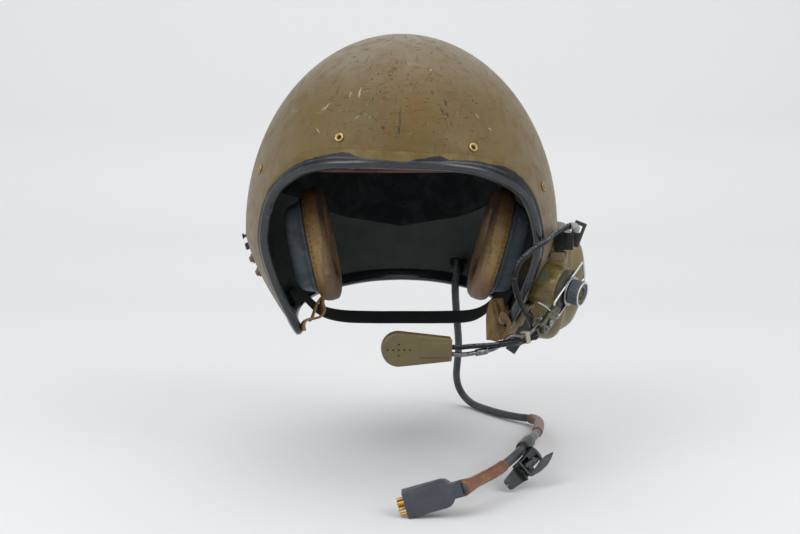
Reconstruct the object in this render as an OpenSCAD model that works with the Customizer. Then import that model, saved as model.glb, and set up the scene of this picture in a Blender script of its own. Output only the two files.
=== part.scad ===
// Tank crew helmet: moulded shell with leather-padded ear cups, a swinging boom microphone
// and a short main lead that ends in a plug.
// X runs to the wearer's left, -Y to the front of the face, Z up. The origin is the middle of
// the head opening at the headband's level.

/* [Shell] */
// Half width of the shell at its widest level
shell_half_w = 127; // [124:0.5:130]
// Reach of the shell's front from its middle
shell_front = 140; // [137:0.5:143]
// Reach of the shell's back from its middle
shell_back = 150; // [146:1:156]
// Height of the crown above the widest level
crown_h = 158; // [154:1:164]
// Depth of the widest level below the headband
wide_drop = 45; // [43:0.5:47]
// Drop of the cheek tips below the widest level
cheek_drop = 79; // [76:0.5:82]
// Share of its width that the shell loses down to the cheek tips
jaw_taper = 0.303; // [0.28:0.005:0.32]
// Share of its length that the shell loses down to the cheek tips
nape_taper = 0.14; // [0.1:0.01:0.18]
// Wall of the shell
shell_wall = 4; // [3:0.25:5]
// Level of the brow edge above the headband
brow_z = 11; // [9:0.5:13]
// Azimuth of the upright cheek edge, in degrees forward of the side
cheek_az = 34; // [32:0.5:36]
// Level of the nape edge
nape_z = -101; // [-106:1:-96]

/* [Edge trim] */
// How far the trim's legs reach over the shell
trim_leg = 8; // [6:0.5:10]
// How far the trim's bead stands beyond the shell's edge
trim_bead = 4.8; // [4:0.2:6]
// Thickness of the trim's rubber
trim_t = 1.8; // [1.4:0.1:2.4]

/* [Harness] */
// Thickness of the impact liner
liner_t = 9; // [7:0.5:11]
// Thickness of the leather headband
band_t = 3.5; // [2.5:0.25:4]
// Height of the headband
band_h = 30; // [26:1:34]
// Width of a crown strap
strap_w = 24; // [20:1:28]
// Thickness of a crown strap
strap_t = 1.6; // [1.2:0.1:2]
// Diameter of the crown ring's centre line
ring_d = 46; // [40:1:52]
// Diameter of a harness screw's head
screw_head_d = 8; // [7:0.5:9]
// Diameter of a harness screw's shank
screw_d = 4; // [3:0.25:4.5]

/* [Ear cups] */
// Distance of an ear cushion's middle from the head's middle
ear_x = 69; // [67:0.5:71]
// Level of an ear cushion's middle
ear_z = -56; // [-59:1:-53]
// Lean of the right ear cushion, its top outward
ear_tilt = 11; // [9:0.5:13]
// Further lean of the left ear cushion
left_lean = 4; // [2:0.5:6]
// Height of an ear cushion
cushion_h = 94; // [88:1:98]
// Depth of an ear cushion, front to back
cushion_d = 96; // [90:1:100]
// Thickness of an ear cushion
cushion_t = 16; // [14:0.5:18]
// Height of the ear's hole in a cushion
ear_hole_h = 52; // [46:1:58]
// Height of an ear cup
cup_h = 80; // [74:1:84]
// Depth of an ear cup, front to back
cup_d = 68; // [62:1:74]
// Thickness of an ear cup
cup_t = 17; // [14:0.5:19]
// Wall of an ear cup
cup_wall = 2.5; // [2:0.25:3]
// Diameter of an earphone
phone_d = 42; // [38:1:46]

/* [Ear dome] */
// Radius of the ear dome
dome_r = 50.5; // [48:0.5:52]
// Place of the ear dome's middle behind the shell's middle
dome_y = 28.5; // [27:0.5:30]
// Level of the ear dome's middle
dome_z = -92; // [-94:0.5:-90]
// Reach of the ear dome's side wall from the shell's middle
dome_reach = 138; // [135:0.5:141]
// Bulge of the ear dome's outer face
dome_bulge = 18; // [14:0.5:20]
// Tilt of the ear dome's axis below level
dome_tilt = 7; // [5:0.5:9]
// Wall of the ear dome
dome_wall = 3; // [2.5:0.25:4]

/* [Boom clamp] */
// Diameter of the boss that carries the boom
boss_d = 34; // [30:1:36]
// Diameter of the boom knob
knob_d = 22.4; // [20:0.2:24]
// Height of the boom knob
knob_h = 10; // [8:0.5:12]
// Diameter of the clamp stud
stud_d = 5; // [4:0.25:6]
// Diameter of the friction washer
friction_d = 32; // [28:0.5:33]
// Thickness of the friction washer
friction_t = 3.5; // [2.5:0.25:4.5]
// Diameter of the clamp washer
clamp_d = 24; // [22.8:0.2:26]
// Thickness of the clamp washer
clamp_t = 1.2; // [0.8:0.1:1.6]

/* [Boom] */
// Diameter of the bail's wire
wire_d = 2; // [1.6:0.1:2.4]
// Width of the bail between its wires' centre lines
bail_w = 18; // [16:0.5:20]
// Reach of the bail in front of the clamp stud
bail_front = 25; // [23:0.5:28]
// Reach of the bail behind the clamp stud
bail_rear = 26; // [24:0.5:29]
// Length of the pivot plate beyond the bail's front bar
plate_len = 22; // [19:0.5:24]
// Width of the pivot plate
plate_w = 14; // [12:0.5:15]
// Thickness of the pivot plate
plate_t = 4; // [3:0.25:5]
// Diameter of the swivel bolt
bolt_d = 3.5; // [3:0.25:4]
// Diameter of the boom rod
rod_d = 3.4; // [2.8:0.1:4]
// Diameter of the cable that runs along the boom
cable_d = 3.8; // [3:0.1:4.4]

/* [Microphone] */
// Diameter of the microphone's round end
mic_d = 25; // [22:0.5:28]
// Length of the microphone from its round end's middle to its cable end
mic_len = 39; // [35:0.5:43]
// Height of the microphone's cable end
mic_end_h = 17; // [14:0.5:19]
// Thickness of the microphone's body
mic_body_t = 7; // [6:0.25:9]
// Thickness of the microphone's cover
mic_cover_t = 5; // [4:0.25:6]
// Diameter of a sound hole
mic_hole_d = 1.2; // [0.9:0.1:1.5]
// Spacing of the sound holes
mic_hole_gap = 4.1; // [3.6:0.1:4.6]

/* [Main lead] */
// Diameter of the main lead
lead_d = 7; // [6:0.25:8]
// Length of the plug's body
plug_len = 36; // [34:1:38]
// Height and width of the plug's body
plug_w = 19; // [17:0.5:21]
// Diameter of a plug contact
contact_d = 2.6; // [2:0.1:3]

/* [Hidden] */
// Clearance between pieces that lie against each other
gap = 0.3;
// Clearance of soft layers that follow the dome
lie = 1.3;
// Running clearance of a pin in its hole
run_gap = 0.05;
// Height of the table below the headband level
table_z = -236;

wide_z = -wide_drop;
tip_z = wide_z - cheek_drop;
// Hand-set points are drawn for these sizes of the shell, and move out with its flanks
drawn_half_w = 127;
drawn_back = 150;
grow = shell_half_w - drawn_half_w;
flank_share = 0.95;
jaw_share = 0.8;
tip_share = 0.62;

// Vector and curve helpers
function unit(v) = v / norm(v);
function mix(a, b, t) = a + (b - a) * t;
function bend(p0, p1, p2, p3, t) =
    0.5 * (2 * p1 + (p2 - p0) * t + (2 * p0 - 5 * p1 + 4 * p2 - p3) * t * t
    + (3 * p1 - p0 - 3 * p2 + p3) * t * t * t);
function at_end(list, i) = list[min(max(i, 0), len(list) - 1)];
function smooth(pts, k) = concat(
    [for (i = [0:len(pts) - 2], j = [0:k - 1])
        bend(at_end(pts, i - 1), pts[i], pts[i + 1], at_end(pts, i + 2), j / k)],
    [pts[len(pts) - 1]]);
// Points that stay where they start and move with a flank where they end
function spread(pts, first, last) = [for (i = [0:len(pts) - 1])
    pts[i] + [grow * mix(first, last, i / (len(pts) - 1)), 0, 0]];
function directions(p) = [for (i = [0:len(p) - 1]) unit(at_end(p, i + 1) - at_end(p, i - 1))];
function carried(t, n, i = 0, done = []) = i == len(t) ? done :
    let (v = i == 0 ? n : done[i - 1])
    carried(t, n, i + 1, concat(done, [unit(v - (v * t[i]) * t[i])]));
function circle_points(r, n) = [for (i = [0:n - 1]) [r * cos(360 * i / n), r * sin(360 * i / n)]];

// Side and end triangles of a solid that is drawn through a row of like rings
function ring_faces(n, rings, loop) = [
    for (j = [0:rings - (loop ? 1 : 2)], i = [0:n - 1])
        let (a = j * n + i, b = j * n + (i + 1) % n,
             d = ((j + 1) % rings) * n + i, c = ((j + 1) % rings) * n + (i + 1) % n)
        each [[a, d, c], [a, c, b]]];
module loft(rings, loop = false) {
    n = len(rings[0]);
    m = len(rings);
    ends = loop ? [] : [[for (i = [0:n - 1]) i], [for (i = [n - 1:-1:0]) (m - 1) * n + i]];
    polyhedron([for (r = rings) each r], concat(ring_faces(n, m, loop), ends), convexity = 8);
}
// A section, as points across and along the start direction, swept along a path
module sweep(path, section, start = [0, 0, 1]) {
    t = directions(path);
    n = carried(t, start);
    loft([for (i = [0:len(path) - 1])
        [for (s = section) path[i] + s[0] * n[i] + s[1] * cross(t[i], n[i])]]);
}
module tube(path, d, sides = 8, start = [0, 0, 1]) {
    sweep(path, circle_points(d / 2, sides), start);
}
module ribbon(path, w, t, start) {
    sweep(path, [[-t / 2, -w / 2], [t / 2, -w / 2], [t / 2, w / 2], [-t / 2, w / 2]], start);
}

// The shell's surface: azimuth 0 is the wearer's left, -90 the front and 90 the back, and sink
// runs from 0 at the crown through 90 at the widest level to the cheek tips
sink_step = 2.4;
function share(sink, taper) = sink <= 90 ? sin(sink)
    : 1 - taper * pow((sink - 90) * sink_step / cheek_drop, 1.45);
function lean(az, sink) = sink <= 90 ? 0
    : atan(1.45 * pow((sink - 90) * sink_step / cheek_drop, 0.45) / cheek_drop
        * (shell_half_w * jaw_taper * pow(cos(az), 2) + shell_back * nape_taper * pow(sin(az), 2)));
function skin(az, sink, off) =
    let (side = off * (sink <= 90 ? sin(sink) : cos(lean(az, sink))))
    [(shell_half_w * share(sink, jaw_taper) + side) * cos(az),
     ((sin(az) < 0 ? shell_front : shell_back) * share(sink, nape_taper) + side) * sin(az),
     sink <= 90 ? wide_z + (crown_h + off) * cos(sink)
         : wide_z - (sink - 90) * sink_step - off * sin(lean(az, sink))];
function sink_of(z, off) = z >= wide_z ? acos(min(1, (z - wide_z) / (crown_h + off)))
    : 90 + (wide_z - z) / sink_step;
function az_of(p) =
    let (s = sink_of(p[2], 0))
    atan2(p[1] / ((p[1] < 0 ? shell_front : shell_back) * share(s, nape_taper)),
          p[0] / (shell_half_w * share(s, jaw_taper)));
function skin_at(az, z, off) = skin(az, sink_of(z, off), off);
function snap(p, off) = skin_at(az_of(p), p[2], off);
function outward(az, z) =
    let (s = sink_of(z, 0))
    unit(cross(skin(az, s + 0.5, 0) - skin(az, s - 0.5, 0),
               skin(az + 0.5, s, 0) - skin(az - 0.5, s, 0)));

// The opening's edge on the wearer's left, front to back, as azimuth and level
EDGE = [
    [-90, brow_z], [-76, brow_z - 0.8], [-63, brow_z - 3], [-53, brow_z - 7],
    [-cheek_az - 12, brow_z - 13], [-cheek_az - 6.5, brow_z - 22], [-cheek_az - 3, brow_z - 34],
    [-cheek_az - 1, wide_z + 5], [-cheek_az, wide_z - 15], [-cheek_az + 1, wide_z - 35],
    [-cheek_az + 2, tip_z + 26], [-cheek_az + 4, tip_z + 12], [-cheek_az + 8, tip_z + 3],
    [-20, tip_z], [-6, tip_z + 2], [8, mix(tip_z, nape_z, 0.3)], [24, mix(tip_z, nape_z, 0.52)],
    [40, mix(tip_z, nape_z, 0.7)], [57, mix(tip_z, nape_z, 0.85)], [74, mix(tip_z, nape_z, 0.96)],
    [90, nape_z]];
HALF = smooth(EDGE, 2);
// Each edge point gets the azimuth at which its mesh line leaves the crown
function rooted(half) =
    let (p = [for (e = half) skin_at(e[0], e[1], 0)], last = len(p) - 1,
         run = [for (i = 0, s = 0; i <= last; s = s + norm(at_end(p, i + 1) - p[i]), i = i + 1) s])
    [for (i = [0:last]) [half[i][0], half[i][1], -90 + 180 * run[i] / run[last]]];
function both_sides(half) =
    let (h = rooted(half))
    concat(h, [for (i = [len(h) - 2:-1:1]) [180 - h[i][0], h[i][1], 180 - h[i][2]]]);
RIM = both_sides(HALF);

// Closed skin between two offsets, from the crown down to an edge
module skin_solid(edge, off_out, off_in, rows) {
    n = len(edge);
    function sheet(off) = [for (r = [1:rows], e = edge)
        skin(mix(e[2], e[0], pow(r / rows, 2)), sink_of(e[1], off) * r / rows, off)];
    top = [skin(0, 0, off_out), skin(0, 0, off_in)];
    first = 2;
    second = 2 + rows * n;
    function side(o, flip) = [for (r = [0:rows - 2], i = [0:n - 1])
        let (a = o + r * n + i, b = o + r * n + (i + 1) % n, c = b + n, d = a + n)
        each flip ? [[a, c, d], [a, b, c]] : [[a, d, c], [a, c, b]]];
    polyhedron(
        concat(top, sheet(off_out), sheet(off_in)),
        concat(
            [for (i = [0:n - 1]) [0, first + (i + 1) % n, first + i]],
            [for (f = side(first, true)) f],
            [for (i = [0:n - 1]) [1, second + i, second + (i + 1) % n]],
            [for (f = side(second, false)) f],
            [for (i = [0:n - 1])
                let (a = second - n + i, b = second - n + (i + 1) % n,
                     c = second + (rows - 1) * n + (i + 1) % n, d = second + (rows - 1) * n + i)
                each [[a, b, c], [a, c, d]]]),
        convexity = 8);
}

module shell() {
    color("#7b6d54") skin_solid(RIM, 0, -shell_wall, 14);
}

// Edge trim: a U-shaped rubber channel with a round bead, seated over the shell's edge
trim_gap = 0.6;
trim_section = [
    [trim_leg, trim_gap], [trim_leg, trim_gap + trim_t * 0.7], [0, trim_gap + trim_t],
    [-trim_bead * 0.6, -shell_wall * 0.1], [-trim_bead, -shell_wall / 2],
    [-trim_bead * 0.6, -shell_wall * 0.9], [0, -shell_wall - trim_gap - trim_t],
    [trim_leg * 0.8, -shell_wall - trim_gap - trim_t], [trim_leg * 0.8, -shell_wall - trim_gap],
    [-gap, -shell_wall - trim_gap], [-gap, trim_gap]];
module edge_trim() {
    n = len(RIM);
    p = [for (e = RIM) skin_at(e[0], e[1], 0)];
    color("#26292b") loft([for (i = [0:n - 1])
        let (t = unit(p[(i + 1) % n] - p[(i + n - 1) % n]),
             o = outward(RIM[i][0], RIM[i][1]), up = unit(cross(o, t)))
        [for (s = trim_section) s[0] > 0 ? snap(p[i] + s[0] * up, s[1])
            : p[i] + s[0] * up + s[1] * cross(t, up)]], loop = true);
}

// Harness screws: slotted brass heads on the shell, shanks down to the headband
screw_places = [[-113.5, 30], [-63.5, 23], [-154.5, 6], [-29, -7], [125, 8], [55, 8]];
module shell_screws() {
    for (s = screw_places) {
        p = skin_at(s[0], s[1], 0);
        o = outward(s[0], s[1]);
        color("#b08a3c") translate(p) rotate([0, acos(o[2]), atan2(o[1], o[0])])
            harness_screw();
    }
}
module harness_screw() {
    head_h = 1.6;
    difference() {
        translate([0, 0, gap])
            cylinder(h = head_h, d1 = screw_head_d, d2 = screw_head_d * 0.7, $fn = 24);
        translate([-screw_head_d, -0.5, gap + head_h * 0.5])
            cube([2 * screw_head_d, 1, head_h]);
    }
}

// Impact liner: a foam dome inside the shell
liner_edge = both_sides(smooth([
    [-90, 26], [-62, 22], [-44, 12], [-28, -2], [0, -8], [35, -20], [62, -40], [90, -52]], 3));
liner_out = -shell_wall - lie;
liner_in = liner_out - liner_t;
module impact_liner() {
    color("#22262a") skin_solid(liner_edge, liner_out, liner_in, 9);
}

// Leather headband inside the liner's lower edge
band_out = liner_in - lie;
band_in = band_out - band_t;
band_low = 5;
module headband() {
    levels = [for (k = [2:-1:0]) band_low + band_h * k / 2];
    color("#5d3b2c") loft([for (a = [0:7.5:352.5]) concat(
        [for (z = levels) skin_at(a, z, band_out)],
        [for (k = [2:-1:0]) skin_at(a, levels[k], band_in)])], loop = true);
}

// Crown straps run from the headband up to the crown ring
strap_off = band_in - lie - gap - strap_t / 2;
ring_wire = 4;
// The straps' upper ends lie over the ring
strap_top = wide_z + (crown_h + strap_off) * cos(asin((ring_d / 2 + 1) / (shell_half_w + strap_off)));
module crown_straps() {
    for (a = [0:60:300]) {
        az = a + 30;
        path = [for (z = concat([band_low + 6, band_low + 16, 40, 58, 74], [strap_top - 5, strap_top]))
            skin_at(az, z, strap_off)];
        color("#4f4a38") ribbon(path, strap_w, strap_t, unit([cos(az), sin(az), 0.01]));
    }
}
module crown_ring() {
    color("#3c3a30") translate([0, 0, strap_top - strap_t / 2 - 2 * gap - ring_wire / 2])
        rotate_extrude($fn = 36) translate([ring_d / 2, 0]) circle(d = ring_wire, $fn = 12);
}

// Ear assemblies: side is 1 on the wearer's left and -1 on the right. In their own frame X runs
// away from the head, through the middle of the cushion
head_shift = 4;
module at_ear(side) {
    tilt = side * ear_tilt + (side > 0 ? left_lean : 0);
    translate([head_shift + side * ear_x, -5, ear_z]) rotate([0, tilt, 0])
        scale([side, 1, 1]) children();
}
function oval(d, h, n) = [for (i = [0:n - 1])
    let (c = cos(360 * i / n), s = sin(360 * i / n))
    [d / 2 * sign(c) * pow(abs(c), 0.8), h / 2 * sign(s) * pow(abs(s), 0.8)]];
function oval_at(x, d, h, n, y = 0, z = 0) = [for (p = oval(d, h, n)) [x, p[0] + y, p[1] + z]];

// A leather cushion with a crowned face round the ear's hole
cushion_steps = 40;
module ear_cushion() {
    n = cushion_steps;
    inner_d = cushion_d * 0.42;
    half = cushion_t / 2;
    sunk = 3;
    loft([
        oval_at(-half * 0.55, inner_d, ear_hole_h, n),
        oval_at(-half, inner_d + 14, ear_hole_h + 14, n),
        oval_at(-half, cushion_d - 18, cushion_h - 18, n),
        oval_at(-half * 0.6, cushion_d - sunk, cushion_h - sunk, n),
        oval_at(0, cushion_d, cushion_h, n),
        oval_at(half * 0.6, cushion_d - sunk, cushion_h - sunk, n),
        oval_at(half, cushion_d - 14, cushion_h - 14, n),
        oval_at(half, inner_d + 6, ear_hole_h + 6, n),
        oval_at(half * 0.5, inner_d, ear_hole_h, n)], loop = true);
}
module ear_cushion_left() {
    color("#846c4c") at_ear(1) ear_cushion();
}
module ear_cushion_right() {
    color("#846c4c") at_ear(-1) ear_cushion();
}

// A rubber ear cup behind the cushion, open towards the ear
cup_low = cushion_t / 2 + gap;
module ear_cup() {
    n = 32;
    top = cup_low + cup_t;
    loft([
        oval_at(cup_low, cup_d - 10, cup_h - 10, n),
        oval_at(cup_low, cup_d, cup_h, n),
        oval_at(cup_low + 3, cup_d, cup_h, n),
        oval_at(cup_low + 4.5, cup_d - 5, cup_h - 5, n),
        oval_at(top - 4, cup_d - 9, cup_h - 9, n),
        oval_at(top, cup_d - 20, cup_h - 20, n),
        oval_at(top, 1, 1, n),
        oval_at(top - cup_wall, 1, 1, n),
        oval_at(top - cup_wall, cup_d - 24, cup_h - 24, n),
        oval_at(top - cup_wall - 3, cup_d - 10 - 2 * cup_wall, cup_h - 10 - 2 * cup_wall, n)],
        loop = true);
}
module ear_cup_left() {
    color("#474d50") at_ear(1) ear_cup();
}
module ear_cup_right() {
    color("#474d50") at_ear(-1) ear_cup();
}

// The earphone: a flat round receiver seated on the floor of its cup
phone_h = 9;
phone_base = cup_low + cup_t - cup_wall - gap;
module earphone() {
    translate([phone_base - phone_h, 0, 0]) rotate([0, 90, 0]) difference() {
        union() {
            cylinder(h = phone_h, d = phone_d * 0.86, $fn = 40);
            translate([0, 0, 2]) cylinder(h = 3, d = phone_d, $fn = 40);
        }
        for (r = [0, 5, 10], k = [0:r == 0 ? 0 : 5])
            rotate([0, 0, k * 60 + r * 3]) translate([r, 0, -1])
                cylinder(h = 3, d = 2, $fn = 16);
    }
}
module earphone_left() {
    color("#1d1f20") at_ear(1) earphone();
}
module earphone_right() {
    color("#1d1f20") at_ear(-1) earphone();
}

// Tie straps hold the cushions' lower ends to the cheek tips
tie_w = 8;
tie_t = 2;
tie_left = [[62, -33.6, -97.3], [61.4, -35.6, -103.5], [63, -39, -108], [66, -41, -117],
    [69, -42, -122.5], [72, -42, -124.5], [74.4, -41, -121], [74.9, -40, -113]];
tie_right = [[-57.2, -34.2, -97.3], [-57.4, -36.6, -103.5], [-58, -40, -108], [-61, -43, -113],
    [-65, -45, -112], [-68, -46, -112], [-71.4, -46, -114], [-72.7, -46, -119]];
module tie_strap_left() {
    color("#80693f") ribbon(smooth(spread(tie_left, 0, tip_share), 3), tie_w, tie_t, [1, 0, 0.3]);
}
module tie_strap_right() {
    color("#80693f") ribbon(smooth(spread(tie_right, 0, -tip_share), 3), tie_w, tie_t,
        [1, 0, 0.3]);
}
// A wire ring in the fold of the wearer's left tie strap
module tie_ring() {
    color("#a9aaab") translate([70.2 + grow * tip_share * 0.55, -41, -115.4]) rotate([20, 90, 0])
        rotate_extrude($fn = 32) translate([3.6, 0]) circle(d = 1.1, $fn = 16);
}
// Hollow rivets in the cheeks' inner walls, above the trim's inner leg
module tie_rivets() {
    for (az = [-23, 203]) {
        level = tip_z + trim_leg + 6;
        p = skin_at(az, level, -shell_wall);
        o = outward(az, level);
        color("#70452f") translate(p - (2 * gap + 1.8) * o)
            rotate([0, acos(o[2]), atan2(o[1], o[0])]) difference() {
                cylinder(h = 1.8, d = 6.5, $fn = 24);
                translate([0, 0, -1]) cylinder(h = 4, d = 2.4, $fn = 20);
            }
    }
}

// Nape strap: dark webbing behind the neck, sewn to the trim's inner legs
nape_t = 1.6;
nape_off = -shell_wall - trim_gap - trim_t - 3 * gap - nape_t / 2;
module nape_strap() {
    ends = [[6, -109], [13, -108.5], [20, -110]];
    color("#2f3434") ribbon(smooth(concat(
        [for (e = ends) skin_at(e[0], e[1], nape_off)],
        [for (q = [[72, 58, -119], [60, 78, -126], [34, 100, -129], [4, 106, -129.5],
            [-26, 100, -129], [-54, 79, -126], [-71, 58, -119]])
            [q[0] * shell_half_w / drawn_half_w, q[1] * shell_back / drawn_back, q[2]]],
        [for (k = [2:-1:0]) skin_at(180 - ends[k][0], ends[k][1], nape_off)]), 2),
        14, nape_t, outward(ends[0][0], ends[0][1]));
}

// Strap keeper: a slotted plate on the wearer's left cheek that holds the chin strap
keeper_t = 4.4;
slot_low = -4;
module at_keeper() {
    translate(skin_at(-18, -108, 0) + [4.9, -1.1, 0]) rotate([0, 24, -20]) children();
}
module strap_keeper() {
    color("#6c634a") at_keeper() difference() {
        translate([-keeper_t / 2, -11, -10]) cube([keeper_t, 22, 18]);
        translate([-keeper_t, -7, slot_low]) cube([2 * keeper_t, 14, 8.5]);
    }
}
chin_t = 2;
module chin_strap() {
    z0 = slot_low + 2.5 * gap + chin_t / 2;
    x0 = keeper_t / 2 + 2 * gap + chin_t / 2;
    color("#2c3030") at_keeper() ribbon(smooth([[-keeper_t / 2 + 0.4, 0, z0], [0.4, 0, z0],
        [x0 - 0.9, 0, z0 - 0.9], [x0, 0, z0 - 3.4], [x0 + 0.2, -1, -13], [x0 - 0.4, -3.5, -23],
        [x0 - 1.6, -6.5, -33]], 3), 11, chin_t, [0, 0, 1]);
}

// Hook, keeper and snap studs on the wearer's right side
module on_skin(az, z, off = 0) {
    p = skin_at(az, z, off);
    o = outward(az, z);
    translate(p) rotate([0, acos(o[2]), atan2(o[1], o[0])]) children();
}
hook_sink = 1.25;
module side_hook() {
    color("#3a3a36") on_skin(-175, -49, gap - hook_sink) {
        cylinder(h = 1.2, d = 7, $fn = 28);
        cylinder(h = 3.2, d = 2.4, $fn = 20);
        translate([0, 0, 3.2]) cylinder(h = 1.2, d = 4.4, $fn = 20);
    }
    color("#3a3a36") on_skin(-174, -57, gap) difference() {
        translate([-2.5, -5, 0]) cube([5, 10, 2.6]);
        translate([-4, -3.4, 0.8]) cube([8, 6.8, 1]);
    }
}
module side_studs() {
    for (z = [-67, -78]) color("#5f5b48") on_skin(-172, z, gap) {
        cylinder(h = 1, d = 8, $fn = 28);
        cylinder(h = 2.2, d = 5.4, $fn = 28);
        translate([0, 0, 2.2]) cylinder(h = 0.9, d1 = 5.4, d2 = 3.6, $fn = 28);
    }
}

// Ear dome: a round moulded cover whose foot follows the shell's flank
dome_axis = [cos(dome_tilt), 0, -sin(dome_tilt)];
dome_up = [sin(dome_tilt), 0, cos(dome_tilt)];
dome_side = [0, 1, 0];
dome_mid = [dome_reach + grow * jaw_share, dome_y, dome_z];
function in_shell(p, off) =
    let (s = sink_of(p[2], off))
    pow(p[0] / (shell_half_w * share(s, jaw_taper) + off), 2)
    + pow(p[1] / ((p[1] < 0 ? shell_front : shell_back) * share(s, nape_taper) + off), 2) < 1;
function reach(p, v, off, lo, hi, n = 16) = n == 0 ? hi :
    let (m = (lo + hi) / 2)
    in_shell(p + m * v, off) ? reach(p, v, off, m, hi, n - 1) : reach(p, v, off, lo, m, n - 1);
function dome_point(r, a, h) =
    dome_mid + r * cos(a) * dome_side + r * sin(a) * dome_up + h * dome_axis;
// The foot stands on the shell, and steps out over the edge trim below
trim_reach = trim_gap + trim_t + 2 * gap;
function foot_off(z) = mix(gap, trim_reach, min(1, max(0, (nape_z + 6 - z) / 8)));
function dome_foot(r, a) =
    let (p = dome_point(r, a, 0))
    dome_point(r, a, reach(p, dome_axis, foot_off(p[2]), -70, 0));
dome_corner = 9;
module ear_dome() {
    n = 48;
    ang = [for (i = [0:n - 1]) 360 * i / n];
    function cap(r, h) = [for (a = ang) dome_point(r, a, h)];
    function bulge(r) = dome_bulge * (1 - pow(r / dome_r, 2));
    r_in = dome_r - dome_wall;
    color("#6f673f") loft(concat(
        [[for (a = ang) dome_foot(r_in, a)]],
        [[for (a = ang) dome_foot(dome_r, a)]],
        [cap(dome_r, -dome_corner)],
        [for (k = [1:4]) cap(dome_r - dome_corner * (1 - cos(k * 20)),
            -dome_corner + dome_corner * sin(k * 20))],
        [for (q = [0.7, 0.5, 0.3, 0.1]) cap(dome_r * q, bulge(dome_r * q) - 0.4)],
        [for (q = [0.1, 0.3, 0.5, 0.7]) cap(dome_r * q, bulge(dome_r * q) - 0.4 - dome_wall)],
        [cap(r_in - 5, -dome_wall)], [cap(r_in, -dome_corner)]), loop = true);
}

// Boom clamp frame: Z runs out along the knob's axis and X forward along the bail
clamp_pos = [131 + grow * jaw_share, -54, -88.5];
clamp_out = 32;
clamp_down = 11.5;
clamp_roll = -55;
module at_clamp() {
    translate(clamp_pos) rotate([0, 90 + clamp_down, -clamp_out]) rotate([0, 0, clamp_roll])
        children();
}
clamp_x0 = [-sin(clamp_down) * cos(clamp_out), sin(clamp_down) * sin(clamp_out), -cos(clamp_down)];
clamp_y0 = [sin(clamp_out), cos(clamp_out), 0];
clamp_n = [cos(clamp_down) * cos(clamp_out), -cos(clamp_down) * sin(clamp_out), -sin(clamp_down)];
clamp_u = cos(clamp_roll) * clamp_x0 + sin(clamp_roll) * clamp_y0;
clamp_w = cross(clamp_n, clamp_u);
function from_clamp(p) = clamp_pos + p[0] * clamp_u + p[1] * clamp_w + p[2] * clamp_n;
washer_face = wire_d / 2 + run_gap;
boss_top = -washer_face - friction_t - gap;

// Boss: a round moulding between the flank and the clamp
module boom_boss() {
    n = 40;
    r = boss_d / 2;
    rim = 2.5;
    bore = stud_d / 2 + run_gap;
    function at(rad, a, z) = from_clamp([rad * cos(a), rad * sin(a), z]);
    function foot(rad, a) =
        let (p = at(rad, a, 0)) p + reach(p, clamp_n, gap, -60, 0) * clamp_n;
    ang = [for (i = [0:n - 1]) 360 * i / n];
    color("#72624a") loft([
        [for (a = ang) foot(0.5, a)],
        [for (a = ang) foot(r * 0.5, a)],
        [for (a = ang) foot(r, a)],
        [for (a = ang) at(r, a, boss_top - rim)],
        [for (a = ang) at(r - rim * 0.3, a, boss_top - rim * 0.3)],
        [for (a = ang) at(r - rim, a, boss_top)],
        [for (a = ang) at(0.5, a, boss_top)]]);
}
// Clamp stud: rises from the boss through washers, bail and knob
stud_top = washer_face + clamp_t + gap + knob_h - 2.8;
module clamp_stud() {
    color("#8f9092") at_clamp() {
        translate([0, 0, boss_top + 0.02]) cylinder(h = stud_top - boss_top - 0.02, d = stud_d, $fn = 32);
    }
}
module friction_washer() {
    color("#2e2f31") at_clamp() translate([0, 0, -washer_face - friction_t]) difference() {
        cylinder(h = friction_t, d = friction_d, $fn = 48);
        translate([0, 0, -1]) cylinder(h = friction_t + 2, d = stud_d + 2 * run_gap, $fn = 32);
    }
}
module clamp_washer() {
    color("#b9bbbd") at_clamp() translate([0, 0, washer_face]) difference() {
        cylinder(h = clamp_t, d = clamp_d, $fn = 48);
        translate([0, 0, -1]) cylinder(h = clamp_t + 2, d = stud_d + 2 * run_gap, $fn = 32);
    }
}
knob_low = washer_face + clamp_t + gap;
rim_h = 1.2;
module boom_knob() {
    color("#4b4d50") at_clamp() translate([0, 0, knob_low]) difference() {
        cylinder(h = knob_h, d = knob_d, $fn = 64);
        translate([0, 0, -1]) cylinder(h = knob_h + 2, d = stud_d + 2 * run_gap, $fn = 32);
        translate([0, 0, knob_h - 2.4]) cylinder(h = 5, d = knob_d * 0.5, $fn = 48);
        for (k = [0:23]) rotate([0, 0, k * 15]) translate([knob_d / 2 + 0.35, 0, 1])
            cylinder(h = knob_h - 3, d = 1.5, $fn = 13);
    }
}
module knob_rim() {
    color("#c2c4c6") at_clamp() translate([0, 0, knob_low + knob_h + 0.02]) difference() {
        cylinder(h = rim_h, d = knob_d, $fn = 64);
        translate([0, 0, -1]) cylinder(h = rim_h + 2, d = knob_d * 0.86, $fn = 64);
    }
}
module knob_screw() {
    color("#a9853c") at_clamp() translate([0, 0, knob_low + knob_h - 2.38]) difference() {
        cylinder(h = 2, d = knob_d * 0.36, $fn = 32);
        translate([-6, -0.5, 1.2]) cube([12, 1, 2]);
    }
}

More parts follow.
